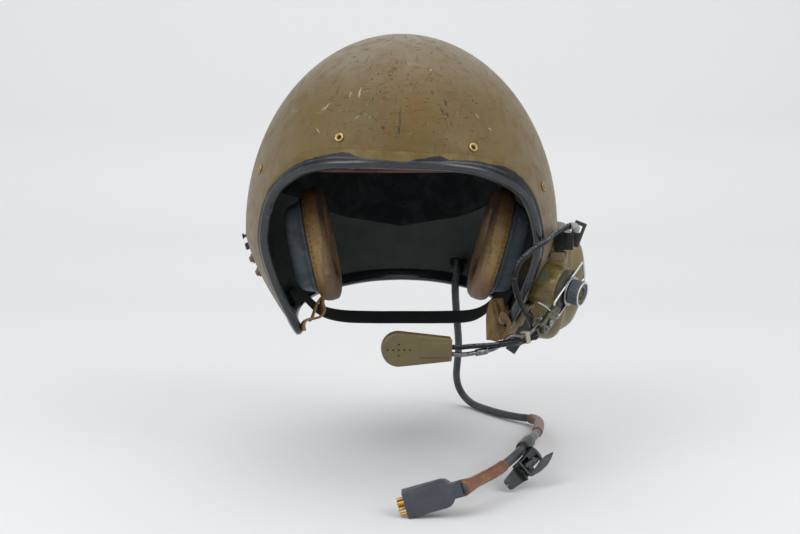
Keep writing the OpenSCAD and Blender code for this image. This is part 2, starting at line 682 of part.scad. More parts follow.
// Bail: a closed wire loop whose two runs pass the stud on either side
function bail_route() =
    let (w = bail_w / 2, c = 3)
    concat(
        [for (a = [0:22.5:90]) [bail_front - c + c * sin(a), w - c + c * cos(a), 0]],
        [for (a = [90:22.5:180]) [bail_front - c + c * sin(a), -w + c + c * cos(a), 0]],
        [for (a = [180:22.5:270]) [-bail_rear + c + c * sin(a), -w + c + c * cos(a), 0]],
        [for (a = [270:22.5:360]) [-bail_rear + c + c * sin(a), w - c + c * cos(a), 0]]);
module boom_bail() {
    r = bail_route();
    n = len(r);
    color("#b4b6b8") loft([for (i = [0:n - 1])
        let (t = unit(r[(i + 1) % n] - r[(i + n - 1) % n]), s = cross(t, [0, 0, 1]))
        [for (c = circle_points(wire_d / 2, 8))
            from_clamp(r[i] + c[0] * [0, 0, 1] + c[1] * s)]], loop = true);
}

// Pivot plate: folded round the bail's front bar, drilled for the swivel bolt
knuckle_d = wire_d + 3;
knuckle_w = bail_w - 7;
swivel_x = bail_front + plate_len * 0.55;
module pivot_plate() {
    color("#5c5b54") at_clamp() difference() {
        union() {
            translate([bail_front, knuckle_w / 2, 0]) rotate([90, 0, 0])
                cylinder(h = knuckle_w, d = knuckle_d, $fn = 28);
            hull() {
                translate([bail_front, -knuckle_w / 2, -plate_t / 2])
                    cube([1, knuckle_w, plate_t]);
                translate([bail_front + 6, -plate_w / 2, -plate_t / 2])
                    cube([1, plate_w, plate_t]);
                for (s = [-1, 1])
                    translate([bail_front + plate_len - 3, s * (plate_w / 2 - 4), -plate_t / 2])
                        cylinder(h = plate_t, r = 3, $fn = 24);
            }
        }
        translate([bail_front, plate_w, 0]) rotate([90, 0, 0])
            cylinder(h = 2 * plate_w, d = wire_d + 2 * run_gap, $fn = 24);
        translate([swivel_x, 0, -plate_t]) cylinder(h = 2 * plate_t, d = bolt_d + 2 * run_gap, $fn = 24);
    }
}
rivet_places = [[0.3, 0.24], [0.3, -0.24], [0.84, 0.12]];
module plate_rivets() {
    for (q = rivet_places, f = [1, -1])
        color("#84847c") at_clamp()
            translate([bail_front + q[0] * plate_len, q[1] * plate_w, f * (plate_t / 2 + 0.02)])
            scale([1, 1, f]) cylinder(h = 0.9, d1 = 3, d2 = 1.8, $fn = 20);
}

// Swivel bolt: head on the plate's outer face, nut on its inner face under the rod's eye
eye_t = rod_d;
nut_h = 2.6;
module swivel_bolt() {
    color("#b7b9bb") at_clamp() translate([swivel_x, 0, 0]) {
        translate([0, 0, plate_t / 2 + run_gap]) cylinder(h = 1.6, d = 6, $fn = 28);
        translate([0, 0, -plate_t / 2 - eye_t - 1])
            cylinder(h = plate_t + eye_t + 1.2, d = bolt_d, $fn = 24);
        translate([0, 0, -plate_t / 2 - eye_t - gap - nut_h]) cylinder(h = nut_h, d = 7, $fn = 6);
    }
}
// Spring wire that ends free beside the pivot plate
swivel_at = from_clamp([swivel_x, 0, -plate_t / 2 - eye_t / 2 - run_gap]);
module plate_wire() {
    start = from_clamp([swivel_x - 5, -plate_w / 2 - 0.5, 0]);
    color("#c9cacb") tube([start, start + [-2.6, -1.2, 2.6], start + [-7.2, -3.6, 5.6],
        start + [-9.4, -4.6, 7]], 1.2, 6);
}

// Boom: points are measured from the swivel's eye
function boom(p) = swivel_at + p;
collar_at = boom([-14.2, -9, -11.2]);
collar_dip = 11.8;
collar_yaw = -142.4;
collar_l = 4.6;
collar_x = [cos(collar_dip) * cos(collar_yaw), cos(collar_dip) * sin(collar_yaw), -sin(collar_dip)];
collar_z = [sin(collar_dip) * cos(collar_yaw), sin(collar_dip) * sin(collar_yaw), cos(collar_dip)];
rod_up = 1.9;
cable_up = rod_up - (rod_d + cable_d) / 2 - 2 * gap - 0.2;
function in_collar(x, z) = collar_at + x * collar_x + z * collar_z;

mic_at = boom([-110.6, -41.2, -14.3]);
mic_yaw = 4.5;
mic_dip = 1;
mic_x = [cos(mic_dip) * cos(mic_yaw), cos(mic_dip) * sin(mic_yaw), -sin(mic_dip)];
module at_mic() {
    translate(mic_at) rotate([0, mic_dip, mic_yaw]) rotate([90, 0, 0]) children();
}
function in_mic(x, y, z) =
    let (front = [sin(mic_yaw), -cos(mic_yaw), 0])
    mic_at + x * mic_x + y * cross(front, mic_x) + z * front;
seat = 0.02;
cable_depth = -2.6;

rod_route = concat(smooth([
    boom([-2.75, -1.8, -2.15]), in_collar(-5, rod_up), in_collar(0, rod_up), in_collar(5, rod_up),
    boom([-26, -17, -9.2]), boom([-33.3, -20.6, -14.2]), boom([-41.5, -27, -17.4]),
    boom([-57, -33.6, -19.2]), in_mic(mic_len + 8, -4.6, cable_depth),
    in_mic(mic_len + 2.5, -4.4, cable_depth)], 4), [in_mic(mic_len + seat, -4.4, cable_depth)]);
module boom_rod() {
    color("#8d8f90") {
        tube(rod_route, rod_d, 8);
        translate(swivel_at) rotate([0, 90 + clamp_down, -clamp_out]) difference() {
            translate([0, 0, -eye_t / 2]) cylinder(h = eye_t - 0.1, d = bolt_d + 4.5, $fn = 32);
            translate([0, 0, -eye_t]) cylinder(h = 2 * eye_t, d = bolt_d + 2 * run_gap, $fn = 24);
        }
    }
}
cable_in = -collar_l / 2 - 1;
cable_route = concat([in_collar(cable_in, cable_up)], smooth([
    in_collar(cable_in + 2.5, cable_up), in_collar(5, cable_up),
    boom([-24, -20, -13]), boom([-34, -26, -13.4]), boom([-43, -30.6, -13.5]),
    boom([-57, -35.6, -13.4]), in_mic(mic_len + 8, 0.9, cable_depth),
    in_mic(mic_len + 2.5, 0.9, cable_depth)], 4), [in_mic(mic_len + seat, 0.9, cable_depth)]);
module boom_lead() {
    color("#15181a") tube(cable_route, cable_d, 8);
}
sheath_d = 5.2;
// A sleeve over a stretch of a cable, from one outer diameter to the last one
module sleeve(path, d_in, d, d_last, n) {
    t = directions(path);
    side = carried(t, [0, 0, 1]);
    last = len(path) - 1;
    function ring(i, r) = [for (c = circle_points(r, n)) path[i] + c[0] * side[i]
        + c[1] * cross(t[i], side[i])];
    loft(concat(
        [for (i = [0:last]) ring(i, i < last - 1 ? d / 2 : mix(d, d_last, i - last + 2) / 2)],
        [for (i = [last:-1:0]) ring(i, (d_in / 2 + run_gap) / cos(180 / n))]), loop = true);
}
function part_of(route, first, last) = [for (i = [first:last]) route[i]];
module boom_sheath() {
    color("#1c2022") sleeve(part_of(cable_route, 6, 14), cable_d, sheath_d, sheath_d, 8);
}
module boom_collar() {
    color("#a5a3a0") translate(collar_at) rotate([0, collar_dip, collar_yaw]) difference() {
        translate([-collar_l / 2, -3.6, -5.6]) cube([collar_l, 7.2, 10.6]);
        translate([-5, 0, rod_up]) rotate([0, 90, 0])
            cylinder(h = 10, d = rod_d + 2 * gap, $fn = 24);
        translate([-5, 0, cable_up]) rotate([0, 90, 0])
            cylinder(h = 10, d = cable_d + 2 * gap, $fn = 24);
    }
}
module rod_clip() {
    color("#9a9b9c") sleeve(part_of(rod_route, 25, 27), rod_d, rod_d + 1.9, rod_d + 1.9, 8);
}

// Microphone: cover towards the front, body behind it, capsule between them
module mic_outline(inset = 0) {
    hull() {
        circle(d = mic_d - 2 * inset, $fn = 40);
        translate([mic_len - 1.5 - inset, -mic_end_h / 2 + 1.5 + inset])
            circle(r = 1.5, $fn = 16);
        translate([mic_len - 1.5 - inset, mic_end_h / 2 - 1.5 - inset]) circle(r = 1.5, $fn = 16);
    }
}
mic_wall = 1.8;
mic_round = 1.2;
capsule_d = 4 * mic_hole_gap + mic_hole_d + 1;
module mic_body() {
    color("#6b6346") at_mic() difference() {
        hull() {
            translate([0, 0, -mic_body_t]) linear_extrude(mic_round) mic_outline(mic_round);
            translate([0, 0, -mic_body_t + mic_round])
                linear_extrude(mic_body_t - mic_round) mic_outline();
        }
        translate([0, 0, -mic_body_t + mic_wall])
            cylinder(h = mic_body_t, d = capsule_d + 2 * gap, $fn = 40);
    }
}
module mic_cover() {
    color("#6b6346") at_mic() difference() {
        union() {
            hull() {
                translate([0, 0, seat]) linear_extrude(mic_cover_t - mic_round) mic_outline();
                translate([0, 0, mic_cover_t - mic_round])
                    linear_extrude(mic_round) mic_outline(mic_round);
            }
            hull() {
                translate([15, -6, mic_cover_t - 1]) cube([mic_len - 17, 12, 1.2]);
                translate([16.5, -4.8, mic_cover_t]) cube([mic_len - 20, 9.6, 0.9]);
            }
        }
        translate([0, 0, -1]) cylinder(h = mic_cover_t - mic_wall + 1, d = capsule_d + 2 * gap,
            $fn = 40);
        for (q = [[-2, 0], [-1, 0], [0, 0], [1, 0], [2, 0], [0, 1], [0, -1]])
            translate([q[0] * mic_hole_gap, q[1] * mic_hole_gap, 0])
                cylinder(h = mic_cover_t + 1, d = mic_hole_d, $fn = 14);
    }
}
module mic_capsule() {
    color("#34373a") at_mic() translate([0, 0, -mic_body_t + mic_wall + seat])
        cylinder(h = mic_body_t + mic_cover_t - 2 * mic_wall - 1, d = capsule_d, $fn = 40);
}

// Connector block, its clip plate, the sleeve and the microphone lead on the left flank
plug_az = -17;
plug_z = -50;
module at_socket(z) {
    p = skin_at(plug_az, z, gap);
    o = outward(plug_az, z);
    translate(p) rotate([0, 0, atan2(o[1], o[0])]) children();
}
module lead_connector() {
    color("#17191b") at_socket(plug_z) {
        translate([0, -6.5, -8]) cube([8, 14, 15]);
        translate([8 - seat, -7.5, -7]) cube([7, 13, 13.5]);
    }
}
module connector_clip() {
    color("#2b2e30") at_socket(plug_z) translate([12.5, 5.5 + seat, -4.5]) rotate([0, 20, 0])
        difference() {
            translate([-4.2, 0, 0]) cube([9.4, 1.3, 20]);
            translate([-1.6, -1, 11.5]) cube([4.2, 4, 5.5]);
        }
}
sleeve_d = 5.6;
sleeve_end = [131.4 + grow * flank_share, -49.8, -38.4];
sleeve_way = unit([-2.2, -1.05, -0.1]);
sleeve_route = concat(smooth(concat(
    spread([[136, -46.4, -43.2], [136.6, -46.8, -40.6], [135.8, -47.6, -38.8]],
        flank_share, flank_share), [sleeve_end - 2 * sleeve_way]), 2), [sleeve_end]);
module lead_sleeve() {
    color("#b4b6b8") tube(sleeve_route, sleeve_d, 12);
}
mic_route = concat([sleeve_end + seat * sleeve_way], smooth(concat(
    [sleeve_end + 2 * sleeve_way], spread([[126, -55, -39.8], [117.2, -67.5, -42.6],
        [109.5, -82, -47], [101.6, -90, -50.5], [93.2, -96.5, -55], [85.6, -100, -63],
        [83, -101, -73.5], [85, -100, -84], [89, -95, -93.5], [93.5, -88.5, -101],
        [97.5, -81, -108], [99, -74.2, -113], [101.5, -72, -117.5]], flank_share, jaw_share),
    [in_collar(-10.5, cable_up - 0.6), in_collar(cable_in - 2.5, cable_up)]), 3),
    [in_collar(cable_in - seat, cable_up)]);
module mic_lead() {
    color("#101214") tube(mic_route, cable_d + 0.6, 8);
}
module socket_bracket() {
    color("#6d6245") at_socket(-62.5) difference() {
        translate([0.8, -7.5, -3.6]) cube([11.5, 13, 7]);
        translate([3.4, -5.2, -1]) cube([12, 8.4, 9.5]);
    }
}

// Main lead: leaves the nape on the left, drops to the table and ends in the plug
plug_pitch = 16;
plug_d = 11;
plug_at = [2.2, -153.5, -227.1];
module at_plug() {
    translate(plug_at) rotate([0, -plug_pitch, 0]) children();
}
function in_plug(x, y, z) = plug_at + [x * cos(plug_pitch) - z * sin(plug_pitch), y,
    x * sin(plug_pitch) + z * cos(plug_pitch)];
neck_l = 6;
neck_h = 10;
gland_az = 57;
gland_z = -88;
gland_h = 12;
gland_d = 13;
gland_in = 10.8;
gland_o = outward(gland_az, gland_z);
gland_at = skin_at(gland_az, gland_z, -shell_wall - gap)
    - gland_in * unit([gland_o[0], gland_o[1], 0]);
lead_top = gland_at - [0, 0, gland_h / 2 + seat];
module lead_gland() {
    color("#232628") translate(gland_at) {
        translate([0, 0, -gland_h / 2]) cylinder(h = gland_h, d = gland_d, $fn = 36);
        rotate([0, 0, atan2(gland_o[1], gland_o[0])]) translate([0, -4, 1])
            cube([gland_in - 0.4, 8, 4]);
    }
}
main_route = concat([lead_top], smooth([
    lead_top - [0, 0, 2.5], lead_top + [-1, -1, -8], lead_top + [-1.5, -1, -17],
    lead_top + [0, 6, -38], [55, 136, -168], [54.5, 162, -203],
    [60, 174, -222], [70, 167, -231.5], [83.5, 144.5, -232.4], [97.2, 125, -232],
    [110, 109.5, -231], [121, 99, -230], [125.4, 79, -228], [117.8, 22, -220.3],
    [109.5, -18, -214.4], [102.1, -46, -211.2], [93.8, -71, -210.7], [84.9, -89, -212.5],
    [75.5, -108.6, -213], [67.9, -120.4, -214], [57.3, -134, -215],
    in_plug(plug_len + neck_l + 2.5, 0, 0)], 3), [in_plug(plug_len + neck_l + seat, 0, 0)]);
module main_lead() {
    color("#3e4547") tube(main_route, lead_d, 10, [1, 0, 0]);
}
module tape_upper() {
    color("#8a5a41") sleeve(part_of(main_route, 34, 41), lead_d, lead_d + 2.6, lead_d + 2.6, 10);
}
module tape_lower() {
    color("#8a5a41") sleeve(part_of(main_route, 55, 63), lead_d, lead_d + 2.2, lead_d + 5.6, 10);
}
module plug_body() {
    color("#4a5057") at_plug() rotate([90, 0, 0]) translate([0, 0, -plug_d / 2]) {
        linear_extrude(plug_d) hull() {
            translate([0, -plug_w / 2]) square([1, plug_w]);
            for (z = [-1, 1]) translate([plug_len - 8, z * (plug_w / 2 - 8)])
                circle(r = 8, $fn = 40);
        }
        translate([plug_len - 1, -neck_h / 2, 1]) cube([neck_l + 1, neck_h, plug_d - 2]);
    }
}
contact_places = [[-2.6, 2.4], [2.6, 3.4], [-2.6, -1.8], [2.6, -0.9], [-2.4, -5.9]];
contact_l = 5;
module plug_contacts() {
    for (q = contact_places) color("#b5924a") at_plug() translate([-seat, q[0], q[1]])
        rotate([0, -90, 0]) cylinder(h = contact_l, d = contact_d, $fn = 28);
}

// Garment clip: X runs along the hinge pin to the tongue, Y across to the wing, Z to the camera
clip_at = [97.9, -86, -218.3];
clip_x = unit([-0.67, -0.56, -0.49]);
clip_z = unit(cross(clip_x, [0.66, -0.076, -0.746]));
clip_y = cross(clip_z, clip_x);
module at_clip() {
    multmatrix([[clip_x[0], clip_y[0], clip_z[0], clip_at[0]], [clip_x[1], clip_y[1], clip_z[1], clip_at[1]],
        [clip_x[2], clip_y[2], clip_z[2], clip_at[2]], [0, 0, 0, 1]]) children();
}
clip_t = 1.2;
clip_rear = -11.5;
clip_front = 10.4;
clip_low = -5;
clip_side = 7;
tongue_l = 16;
cheek_gap = 0.6;
pin_d = 2.4;
coil_d = 7.2;
coil_wire = 1.1;
coil_turns = 8;
coil_span = 11.5;
module along_pin(x, h, d) {
    translate([x, 0, 0]) rotate([0, 90, 0]) cylinder(h = h, d = d, $fn = 28);
}
module clip_base() {
    color("#2a2e2d") at_clip() difference() {
        union() {
            translate([-3, -clip_side, clip_low]) cube([clip_front + 3, 2 * clip_side, clip_t]);
            translate([clip_rear, -clip_side, clip_low]) cube([-clip_rear, clip_side - 1.5, clip_t]);
            translate([clip_front - clip_t, -5.6, clip_low]) cube([clip_t, 13, 5.6]);
            translate([clip_rear, -clip_side, clip_low]) cube([clip_t, clip_side + 3.8, 5.6]);
            for (x = [clip_rear, clip_front - clip_t]) along_pin(x, clip_t, 5.4);
            hull() {
                translate([clip_front - 1, -5.6, clip_low + 0.4]) cube([1, 13, clip_t]);
                for (y = [-3.1, 2]) translate([clip_front + tongue_l - 2, y, -1.4])
                    cylinder(h = clip_t, r = 2, $fn = 28);
            }
        }
        along_pin(clip_rear - 1, clip_front - clip_rear + 2, pin_d + 2 * run_gap);
        translate([clip_front + tongue_l - 2.6, -0.9, clip_low]) cube([4, 0.8, 6]);
    }
}
wing_edge = [[8.4, 5.6], [6.2, 6.6], [-6.6, 4.9], [-12.8, 5.1], [-19.6, 7.3], [-19.9, 8],
    [-14.5, 10], [-9.2, 11.1], [-2, 11], [5, 9.4], [8.4, 8]];
module clip_lever() {
    rear = clip_rear + clip_t + cheek_gap;
    front = clip_front - 2 * clip_t - cheek_gap;
    color("#2a2e2d") at_clip() difference() {
        union() {
            for (x = [rear, front]) hull() {
                along_pin(x, clip_t, 5.6);
                translate([x, -clip_side - 0.6, 1.4]) cube([clip_t, 1.2, 3.2]);
                translate([x, 4, 2.8]) cube([clip_t, 1.4, 2]);
            }
            translate([rear + 0.2, -clip_side - 0.4, clip_low + clip_t + 3 * gap])
                cube([front + clip_t - rear - 0.4, 0.8, 4.3 - clip_low - clip_t - 3 * gap]);
            translate([rear + 0.3, -clip_side - 0.2, 3.3]) cube([9, 4, 0.8]);
            translate([0, 3.5, 3.3]) rotate([18, 0, 0]) translate([0, -5, 0])
                linear_extrude(clip_t) polygon(wing_edge);
        }
        along_pin(rear - 1, front - rear + clip_t + 2, pin_d + 2 * run_gap);
    }
}
module clip_pin() {
    color("#3a3d3e") at_clip() along_pin(clip_rear, clip_front - clip_rear + 0.5, pin_d);
}
module clip_spring() {
    r = (coil_d - coil_wire) / 2;
    step = coil_span / coil_turns;
    echo(least_gap_between_curls = step - coil_wire);
    path = [for (i = [0:coil_turns * 8])
        [step * i / 8 - coil_span / 2 - 1, r * sin(45 * i), r * cos(45 * i)]];
    color("#4a4d4e") at_clip() tube(path, coil_wire, 6);
}
band_side = [4.5, -1.2, -1.5];
module clip_band() {
    color("#24282a") {
        sleeve(part_of(main_route, 46, 49), lead_d, lead_d + 4, lead_d + 4, 10);
        hull() {
            translate(main_route[48] + band_side) rotate([0, 0, -17]) cube([1, 7, 3], center = true);
            at_clip() translate([clip_rear - gap - 1.2, -clip_side, clip_low + 1]) cube([1.2, 8, 6.5]);
        }
    }
}

shell();
edge_trim();
shell_screws();
impact_liner();
headband();
crown_straps();
crown_ring();
ear_cushion_left();
ear_cushion_right();
ear_cup_left();
ear_cup_right();
earphone_left();
earphone_right();
tie_strap_left();
tie_strap_right();
tie_ring();
tie_rivets();
nape_strap();
chin_strap();
strap_keeper();
side_hook();
side_studs();
ear_dome();
boom_boss();
clamp_stud();
socket_bracket();
lead_connector();
connector_clip();
lead_sleeve();
mic_lead();
friction_washer();
clamp_washer();
boom_knob();
knob_rim();
knob_screw();
boom_bail();
pivot_plate();
plate_rivets();
plate_wire();
boom_rod();
swivel_bolt();
boom_collar();
boom_sheath();
boom_lead();
rod_clip();
mic_body();
mic_cover();
mic_capsule();
lead_gland();
main_lead();
tape_upper();
tape_lower();
clip_band();
clip_base();
clip_lever();
clip_pin();
clip_spring();
plug_body();
plug_contacts();
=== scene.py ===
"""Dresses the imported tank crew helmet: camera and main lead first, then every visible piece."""
import math
import random

import bpy
import bmesh
from mathutils import Matrix, Vector


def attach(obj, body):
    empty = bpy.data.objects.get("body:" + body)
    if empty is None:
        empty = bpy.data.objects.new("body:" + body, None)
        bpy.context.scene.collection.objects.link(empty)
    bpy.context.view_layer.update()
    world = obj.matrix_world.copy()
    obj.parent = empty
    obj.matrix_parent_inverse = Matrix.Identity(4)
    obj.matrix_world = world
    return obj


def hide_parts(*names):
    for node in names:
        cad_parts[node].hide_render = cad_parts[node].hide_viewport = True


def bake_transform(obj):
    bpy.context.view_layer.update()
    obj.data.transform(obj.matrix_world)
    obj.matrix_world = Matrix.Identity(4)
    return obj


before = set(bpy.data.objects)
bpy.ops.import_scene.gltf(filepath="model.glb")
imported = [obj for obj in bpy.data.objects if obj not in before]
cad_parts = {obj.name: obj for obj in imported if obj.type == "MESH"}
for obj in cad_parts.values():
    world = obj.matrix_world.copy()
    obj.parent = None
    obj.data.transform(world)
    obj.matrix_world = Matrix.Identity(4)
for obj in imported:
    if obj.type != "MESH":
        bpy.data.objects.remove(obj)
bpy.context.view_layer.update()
MM = 0.001
V = Vector


def sin(degrees):
    return math.sin(math.radians(degrees))


def cos(degrees):
    return math.cos(math.radians(degrees))


def ahead(dip, turn):
    """The X direction turned round Z, then dipped below the horizon."""
    return V((cos(dip) * cos(turn), cos(dip) * sin(turn), -sin(dip)))


def above(dip, turn):
    """The upward direction square to ahead(dip, turn)."""
    return V((sin(dip) * cos(turn), sin(dip) * sin(turn), cos(dip)))


def add(name, data):
    """A new object in the scene."""
    ob = bpy.data.objects.new(name, data)
    bpy.context.scene.collection.objects.link(ob)
    return ob


# camera, in metres and degrees
CAM_AT, CAM_PITCH = (-0.0012, -0.914, 0.029), 6.57
cam_data = bpy.data.cameras.new("camera")
cam_data.sensor_width = 36
cam_data.lens = 50
cam_data.clip_start = 0.01
cam = add("camera", cam_data)
cam.location = CAM_AT
cam.rotation_euler = (math.radians(90 - CAM_PITCH), 0, 0)
bpy.context.scene.camera = cam
bpy.context.scene.view_settings.view_transform = "Standard"


# materials
def srgb(r, g, b):
    """A colour as it is seen, 0 to 255, as the shader's linear one."""
    return tuple((c / 12.92 if c <= 0.04045 else ((c + 0.055) / 1.055) ** 2.4)
                 for c in (r / 255, g / 255, b / 255)) + (1.0,)


class Paint:
    """A small wrapper round one material's nodes."""

    def __init__(self, name, rough=0.5, metal=0.0, spec=0.5):
        self.mat = bpy.data.materials.new(name)
        self.mat.use_nodes = True
        self.tree = self.mat.node_tree
        self.bsdf = self.tree.nodes["Principled BSDF"]
        self.set("Roughness", rough)
        self.set("Metallic", metal)
        self.set("Specular IOR Level", spec)
        self.coord = self.tree.nodes.new("ShaderNodeTexCoord")
        self.last_bump = None

    def set(self, name, value):
        if isinstance(value, bpy.types.NodeSocket):
            self.tree.links.new(value, self.bsdf.inputs[name])
        else:
            self.bsdf.inputs[name].default_value = value

    def node(self, kind, inputs=None, **props):
        n = self.tree.nodes.new(kind)
        for key, value in props.items():
            setattr(n, key, value)
        for key, value in (inputs or {}).items():
            if isinstance(value, bpy.types.NodeSocket):
                self.tree.links.new(value, n.inputs[key])
            else:
                n.inputs[key].default_value = value
        return n

    @property
    def place(self):
        return self.coord.outputs["Object"]

    @property
    def uv(self):
        return self.coord.outputs["UV"]

    def stretched(self, scale, turn=(0, 0, 0), source=None):
        return self.node("ShaderNodeMapping", {
            "Vector": source or self.place, "Scale": scale,
            "Rotation": [math.radians(a) for a in turn]}).outputs[0]

    def noise(self, scale, detail=4.0, rough=0.55, twist=0.0, at=None):
        return self.node("ShaderNodeTexNoise", {
            "Vector": at or self.place, "Scale": scale, "Detail": detail, "Roughness": rough,
            "Distortion": twist}).outputs["Fac"]

    def cells(self, scale, feature="F1", at=None):
        return self.node("ShaderNodeTexVoronoi", {"Vector": at or self.place, "Scale": scale},
                         feature=feature).outputs["Distance"]

    def calc(self, op, a, b=0.0, c=0.0):
        return self.node("ShaderNodeMath", {0: a, 1: b, 2: c}, operation=op).outputs[0]

    def times(self, a, b):
        return self.calc("MULTIPLY", a, b)

    def vector(self, op, out, *inputs):
        return self.node("ShaderNodeVectorMath", dict(enumerate(inputs)), operation=op).outputs[out]

    def step(self, value, low, high, to_low=0.0, to_high=1.0):
        return self.node("ShaderNodeMapRange", {
            "Value": value, "From Min": low, "From Max": high, "To Min": to_low,
            "To Max": to_high}, interpolation_type="SMOOTHSTEP").outputs[0]

    def mix(self, share, a, b):
        """From colour a to colour b, each a socket or a colour as it is seen."""
        a, b = (srgb(*c) if isinstance(c, tuple) else c for c in (a, b))
        return self.node("ShaderNodeMix", {0: share, 6: a, 7: b}, data_type="RGBA").outputs[2]

    def part(self, axis, source=None):
        return self.node("ShaderNodeSeparateXYZ", {"Vector": source or self.place}).outputs[axis]

    def mark(self, name):
        return self.node("ShaderNodeAttribute", attribute_name=name).outputs["Fac"]

    def bump(self, height, strength=0.5, distance=0.001):
        inputs = {"Height": height, "Strength": strength, "Distance": distance}
        if self.last_bump is not None:
            inputs["Normal"] = self.last_bump
        self.last_bump = self.node("ShaderNodeBump", inputs).outputs[0]
        self.set("Normal", self.last_bump)

    def colour(self, value):
        self.set("Base Color", srgb(*value) if isinstance(value, tuple) else value)
        return self.mat


WEAVE = 0.0016


def leather(name, base, dark, pale, rough=0.55):
    """Leather with fine grain and soft patches; also gives back a crease pattern, used on the cushions
    for painted shade in the creases.
    """
    p = Paint(name, rough=rough)
    patches = p.noise(22, 4, 0.6, 0.6)
    grain = p.cells(1300)
    fine = p.noise(700, 3)
    shift = p.node("ShaderNodeTexNoise", {"Vector": p.place, "Scale": 60.0, "Detail": 3.0})
    crease = p.cells(95, "DISTANCE_TO_EDGE",
                     at=p.vector("MULTIPLY_ADD", 0, p.place, shift.outputs["Color"]))
    tone = p.mix(p.step(patches, 0.32, 0.68), dark, base)
    tone = p.mix(p.step(p.noise(48, 5, 0.65, 1.2), 0.55, 0.72, 0, 0.55), tone, pale)
    tone = p.mix(p.step(grain, 0.0, 0.5, 0.22, 0), tone, dark)
    p.set("Roughness", p.step(patches, 0.3, 0.7, rough + 0.1, rough - 0.08))
    p.bump(grain, 0.25, 0.0003)
    p.bump(fine, 0.2, 0.0003)
    p.colour(tone)
    return p, crease


def webbing(name, base, dark):
    """Woven tape: UV runs in metres along and across the strap."""
    p = Paint(name, rough=0.9, spec=0.2)
    u = p.times(p.part(0, p.uv), math.pi / WEAVE)
    v = p.times(p.part(1, p.uv), math.pi / (WEAVE * 0.75))
    warp = p.calc("ABSOLUTE", p.calc("SINE", v))
    weft = p.calc("ABSOLUTE", p.calc("SINE", p.calc("ADD", u, p.times(p.calc(
        "SIGN", p.calc("SINE", v)), 0.8))))
    height = p.times(warp, p.calc("MULTIPLY_ADD", weft, 0.6, 0.4))
    tone = p.mix(p.step(height, 0.1, 0.8), dark, base)
    tone = p.mix(p.step(p.noise(60, 5, 0.6, 0.5), 0.45, 0.75, 0, 0.35), tone, dark)
    p.bump(height, 0.6, 0.0004)
    p.bump(p.noise(2600, 2), 0.3, 0.0002)
    return p.colour(tone)


def rubber(name, base, dark, pale, rough, scale, dust):
    """Cloudy rubber with pale dust."""
    p = Paint(name, rough=rough)
    cloud = p.noise(30 * scale, 5, 0.6, 0.8)
    tone = p.mix(p.step(cloud, 0.35, 0.7), dark, base)
    tone = p.mix(p.step(p.noise(75 * scale, 6, 0.7, 1.5), 0.56, 0.75, 0, dust), tone, pale)
    p.set("Roughness", p.step(cloud, 0.3, 0.7, rough + 0.12, rough - 0.08))
    p.bump(p.noise(900, 3), 0.12, 0.0003)
    p.bump(p.noise(120 * scale, 3), 0.15, 0.0006)
    return p.colour(tone)


def metal(name, base, dark, rough, scale, grime=0.5):
    """Bare metal dulled by grime."""
    p = Paint(name, rough=rough, metal=1.0)
    cloud = p.noise(160 * scale, 5, 0.65, 0.6)
    brush = p.noise(900 * scale, 3)
    tone = p.mix(p.step(cloud, 0.42, 0.72, 0, grime), base, dark)
    tone = p.mix(p.step(brush, 0.3, 0.7, 0, 0.18), tone, dark)
    p.set("Roughness", p.step(cloud, 0.35, 0.75, rough, min(0.9, rough + 0.28)))
    p.bump(brush, 0.08, 0.0002)
    return p.colour(tone)


def plastic(name, base, dark, pale, rough, spec=0.5, scale=1.0, worn=0.25):
    """Plastic, painted metal or thread: dirt in dark clouds, wear in pale flecks."""
    p = Paint(name, rough=rough, spec=spec)
    cloud = p.noise(38 * scale, 5, 0.6, 1.0)
    tone = p.mix(p.step(cloud, 0.35, 0.72, 0, 0.4), base, dark)
    tone = p.mix(p.step(p.noise(130 * scale, 6, 0.7, 2.0), 0.6, 0.74, 0, worn), tone, pale)
    p.set("Roughness", p.step(p.noise(90 * scale, 4), 0.35, 0.7, rough - 0.06, rough + 0.14))
    p.bump(p.noise(1100, 3), 0.12, 0.0003)
    return p.colour(tone)


CHIP, SCUFF, PALE = (38, 43, 40), (84, 68, 34), (172, 164, 132)
